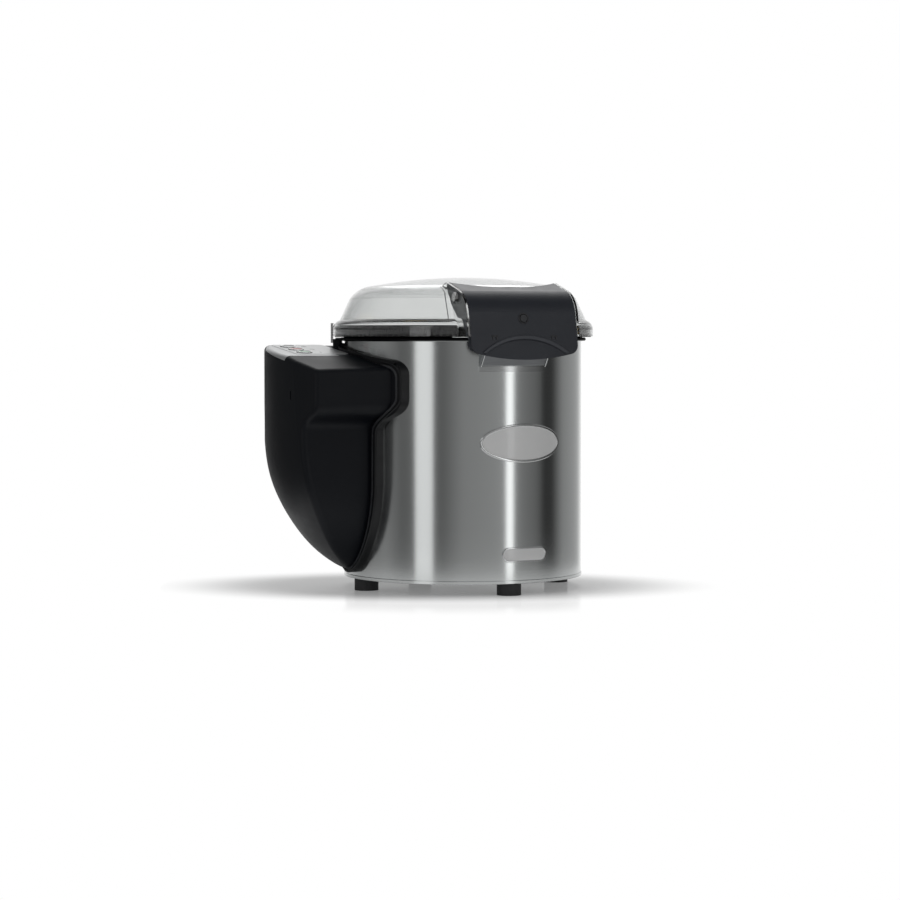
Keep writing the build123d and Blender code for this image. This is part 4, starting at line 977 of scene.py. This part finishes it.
# the raised grip is an arc about a point on the flap's middle line, and the flap's lean flattens it
grip_centre_z, grip_r, grip_flattening = 0.2752, 0.1062, 0.985
slate_x, _, slate_z = slate_moulding.axes(slate_moulding.place)
grip_out = slate_moulding.length(slate_x, (slate_z - grip_centre_z) / grip_flattening)
off_grip = slate_moulding.node("ShaderNodeMath", {"operation": "ABSOLUTE"}, {0: grip_out - grip_r})
highlight_half, highlight_fade = 0.0018, 0.0032  # off the arc: painted highlight to the first, and plain from the second
grip_foot, grip_full = 0.3555, 0.3575  # heights between which the grip's two ends set in
grip_painted_highlight = slate_moulding.between(off_grip, highlight_half, highlight_fade, 1.0, 0.0)
over_ends = slate_moulding.between(slate_z, grip_foot, grip_full, easing="LINEAR")
slate_body = slate_moulding.mix(slate_tone, (0.017, 0.020, 0.029), (0.023, 0.027, 0.037))
# the grip's raised rim is painted paler: a painted highlight
slate_moulding.wear(
    Base_Color=slate_moulding.mix(grip_painted_highlight * over_ends, slate_body, (0.055, 0.06, 0.072)),
    Roughness=0.32 + slate_rub * 0.14,
    Specular_IOR_Level=0.4,
)
slate_moulding.relief(slate_grain, 0.00006)
dress(slate_moulding, "discharge_flap")

blackened_steel = Finish("blackened_steel")
blackening = blackened_steel.cloud(500.0)
blackened_steel.wear(
    Base_Color=blackened_steel.mix(blackening, (0.03, 0.031, 0.034), (0.055, 0.056, 0.06)),
    Metallic=0.6, Roughness=0.32 + blackening * 0.16,
)
dress(blackened_steel, "flap_screw")

flap_front_y, flap_front_z = -0.2045, 0.416  # the flat front's upper edge
flap_foot_y, flap_foot_z = -0.218, 0.340
flap_lean = atan2(flap_front_y - flap_foot_y, flap_front_z - flap_foot_z)
screw_down = 0.0092  # the screw's distance below that edge
front_run = Vector((0, -sin(flap_lean), -cos(flap_lean)))
on_flap = Matrix.Translation(Vector((0, flap_front_y, flap_front_z)) + front_run * screw_down)
on_flap = on_flap @ Matrix.Rotation(pi / 2 - flap_lean, 4, "X")


def on_the_flap(name, shape, shader):
    """Finishes a piece drawn about the flap's screw and lays it on the flap's front."""
    bmesh.ops.transform(shape, matrix=on_flap, verts=shape.verts)
    bmesh.ops.recalc_face_normals(shape, faces=shape.faces)
    made = link_mesh(name, shape, shader)
    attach(made, "flap")


ear_matt = Finish("ear_matt")
ear_tone = ear_matt.cloud(40.0)
ear_matt.wear(
    Base_Color=ear_matt.mix(ear_tone, (0.012, 0.0135, 0.018), (0.022, 0.024, 0.03)),
    Roughness=0.5 + ear_tone * 0.15, Specular_IOR_Level=0.12,
)
# y and height round the plate over an ear
ear_outline = (
    (-0.1345, 0.4590), (-0.1560, 0.4525), (-0.1775, 0.4460), (-0.1890, 0.4395), (-0.1968, 0.4305),
    (-0.2025, 0.4200), (-0.2045, 0.4080), (-0.1860, 0.4060), (-0.1710, 0.4080), (-0.1550, 0.4220),
    (-0.1400, 0.4380), (-0.1335, 0.4540),
)
flap_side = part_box("discharge_flap")[1][0]
ears = bmesh.new()
for ear_side in (-1, 1):
    rings = []
    for lift in (0.00005, 0.0004):
        ear_x = ear_side * (flap_side + lift)
        rings.append([ears.verts.new((ear_x, y, z)) for y, z in ear_outline])
        ears.faces.new(rings[-1])
    inner, outer = rings
    for step in range(len(outer)):
        after = (step + 1) % len(outer)
        ears.faces.new((outer[step], outer[after], inner[after], inner[step]))
bmesh.ops.recalc_face_normals(ears, faces=ears.faces)
ear_plates = link_mesh("ear_plates", ears, ear_matt)
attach(ear_plates, "flap")

washer = bmesh.new()
flat_band(washer, 0, 0, (
    (0.0062, 0.0), (0.0062, 0.0007), (0.0067, 0.0012), (0.0076, 0.0012), (0.0082, 0.0006), (0.0082, 0.0)
))
on_the_flap("flap_washer", washer, blackened_steel)

clips = bmesh.new()
clip_down = 0.0262  # the clips' distance below the screw
for clip_x in (-0.048, 0.048):
    # a bar across, and a short leg down from each side of it
    for x, y, wide, tall in (
        (0.0, 0.0, 0.0105, 0.0022), (-0.003, -0.0018, 0.0026, 0.0064), (0.003, -0.0018, 0.0026, 0.0064),
    ):
        flat_bar(clips, (clip_x + x, y - clip_down, 0.0003), (wide, tall, 0.0014))
bmesh.ops.bevel(clips, geom=clips.edges, offset=0.0003, segments=2, affect="EDGES")
on_the_flap("flap_clips", clips, blackened_steel)
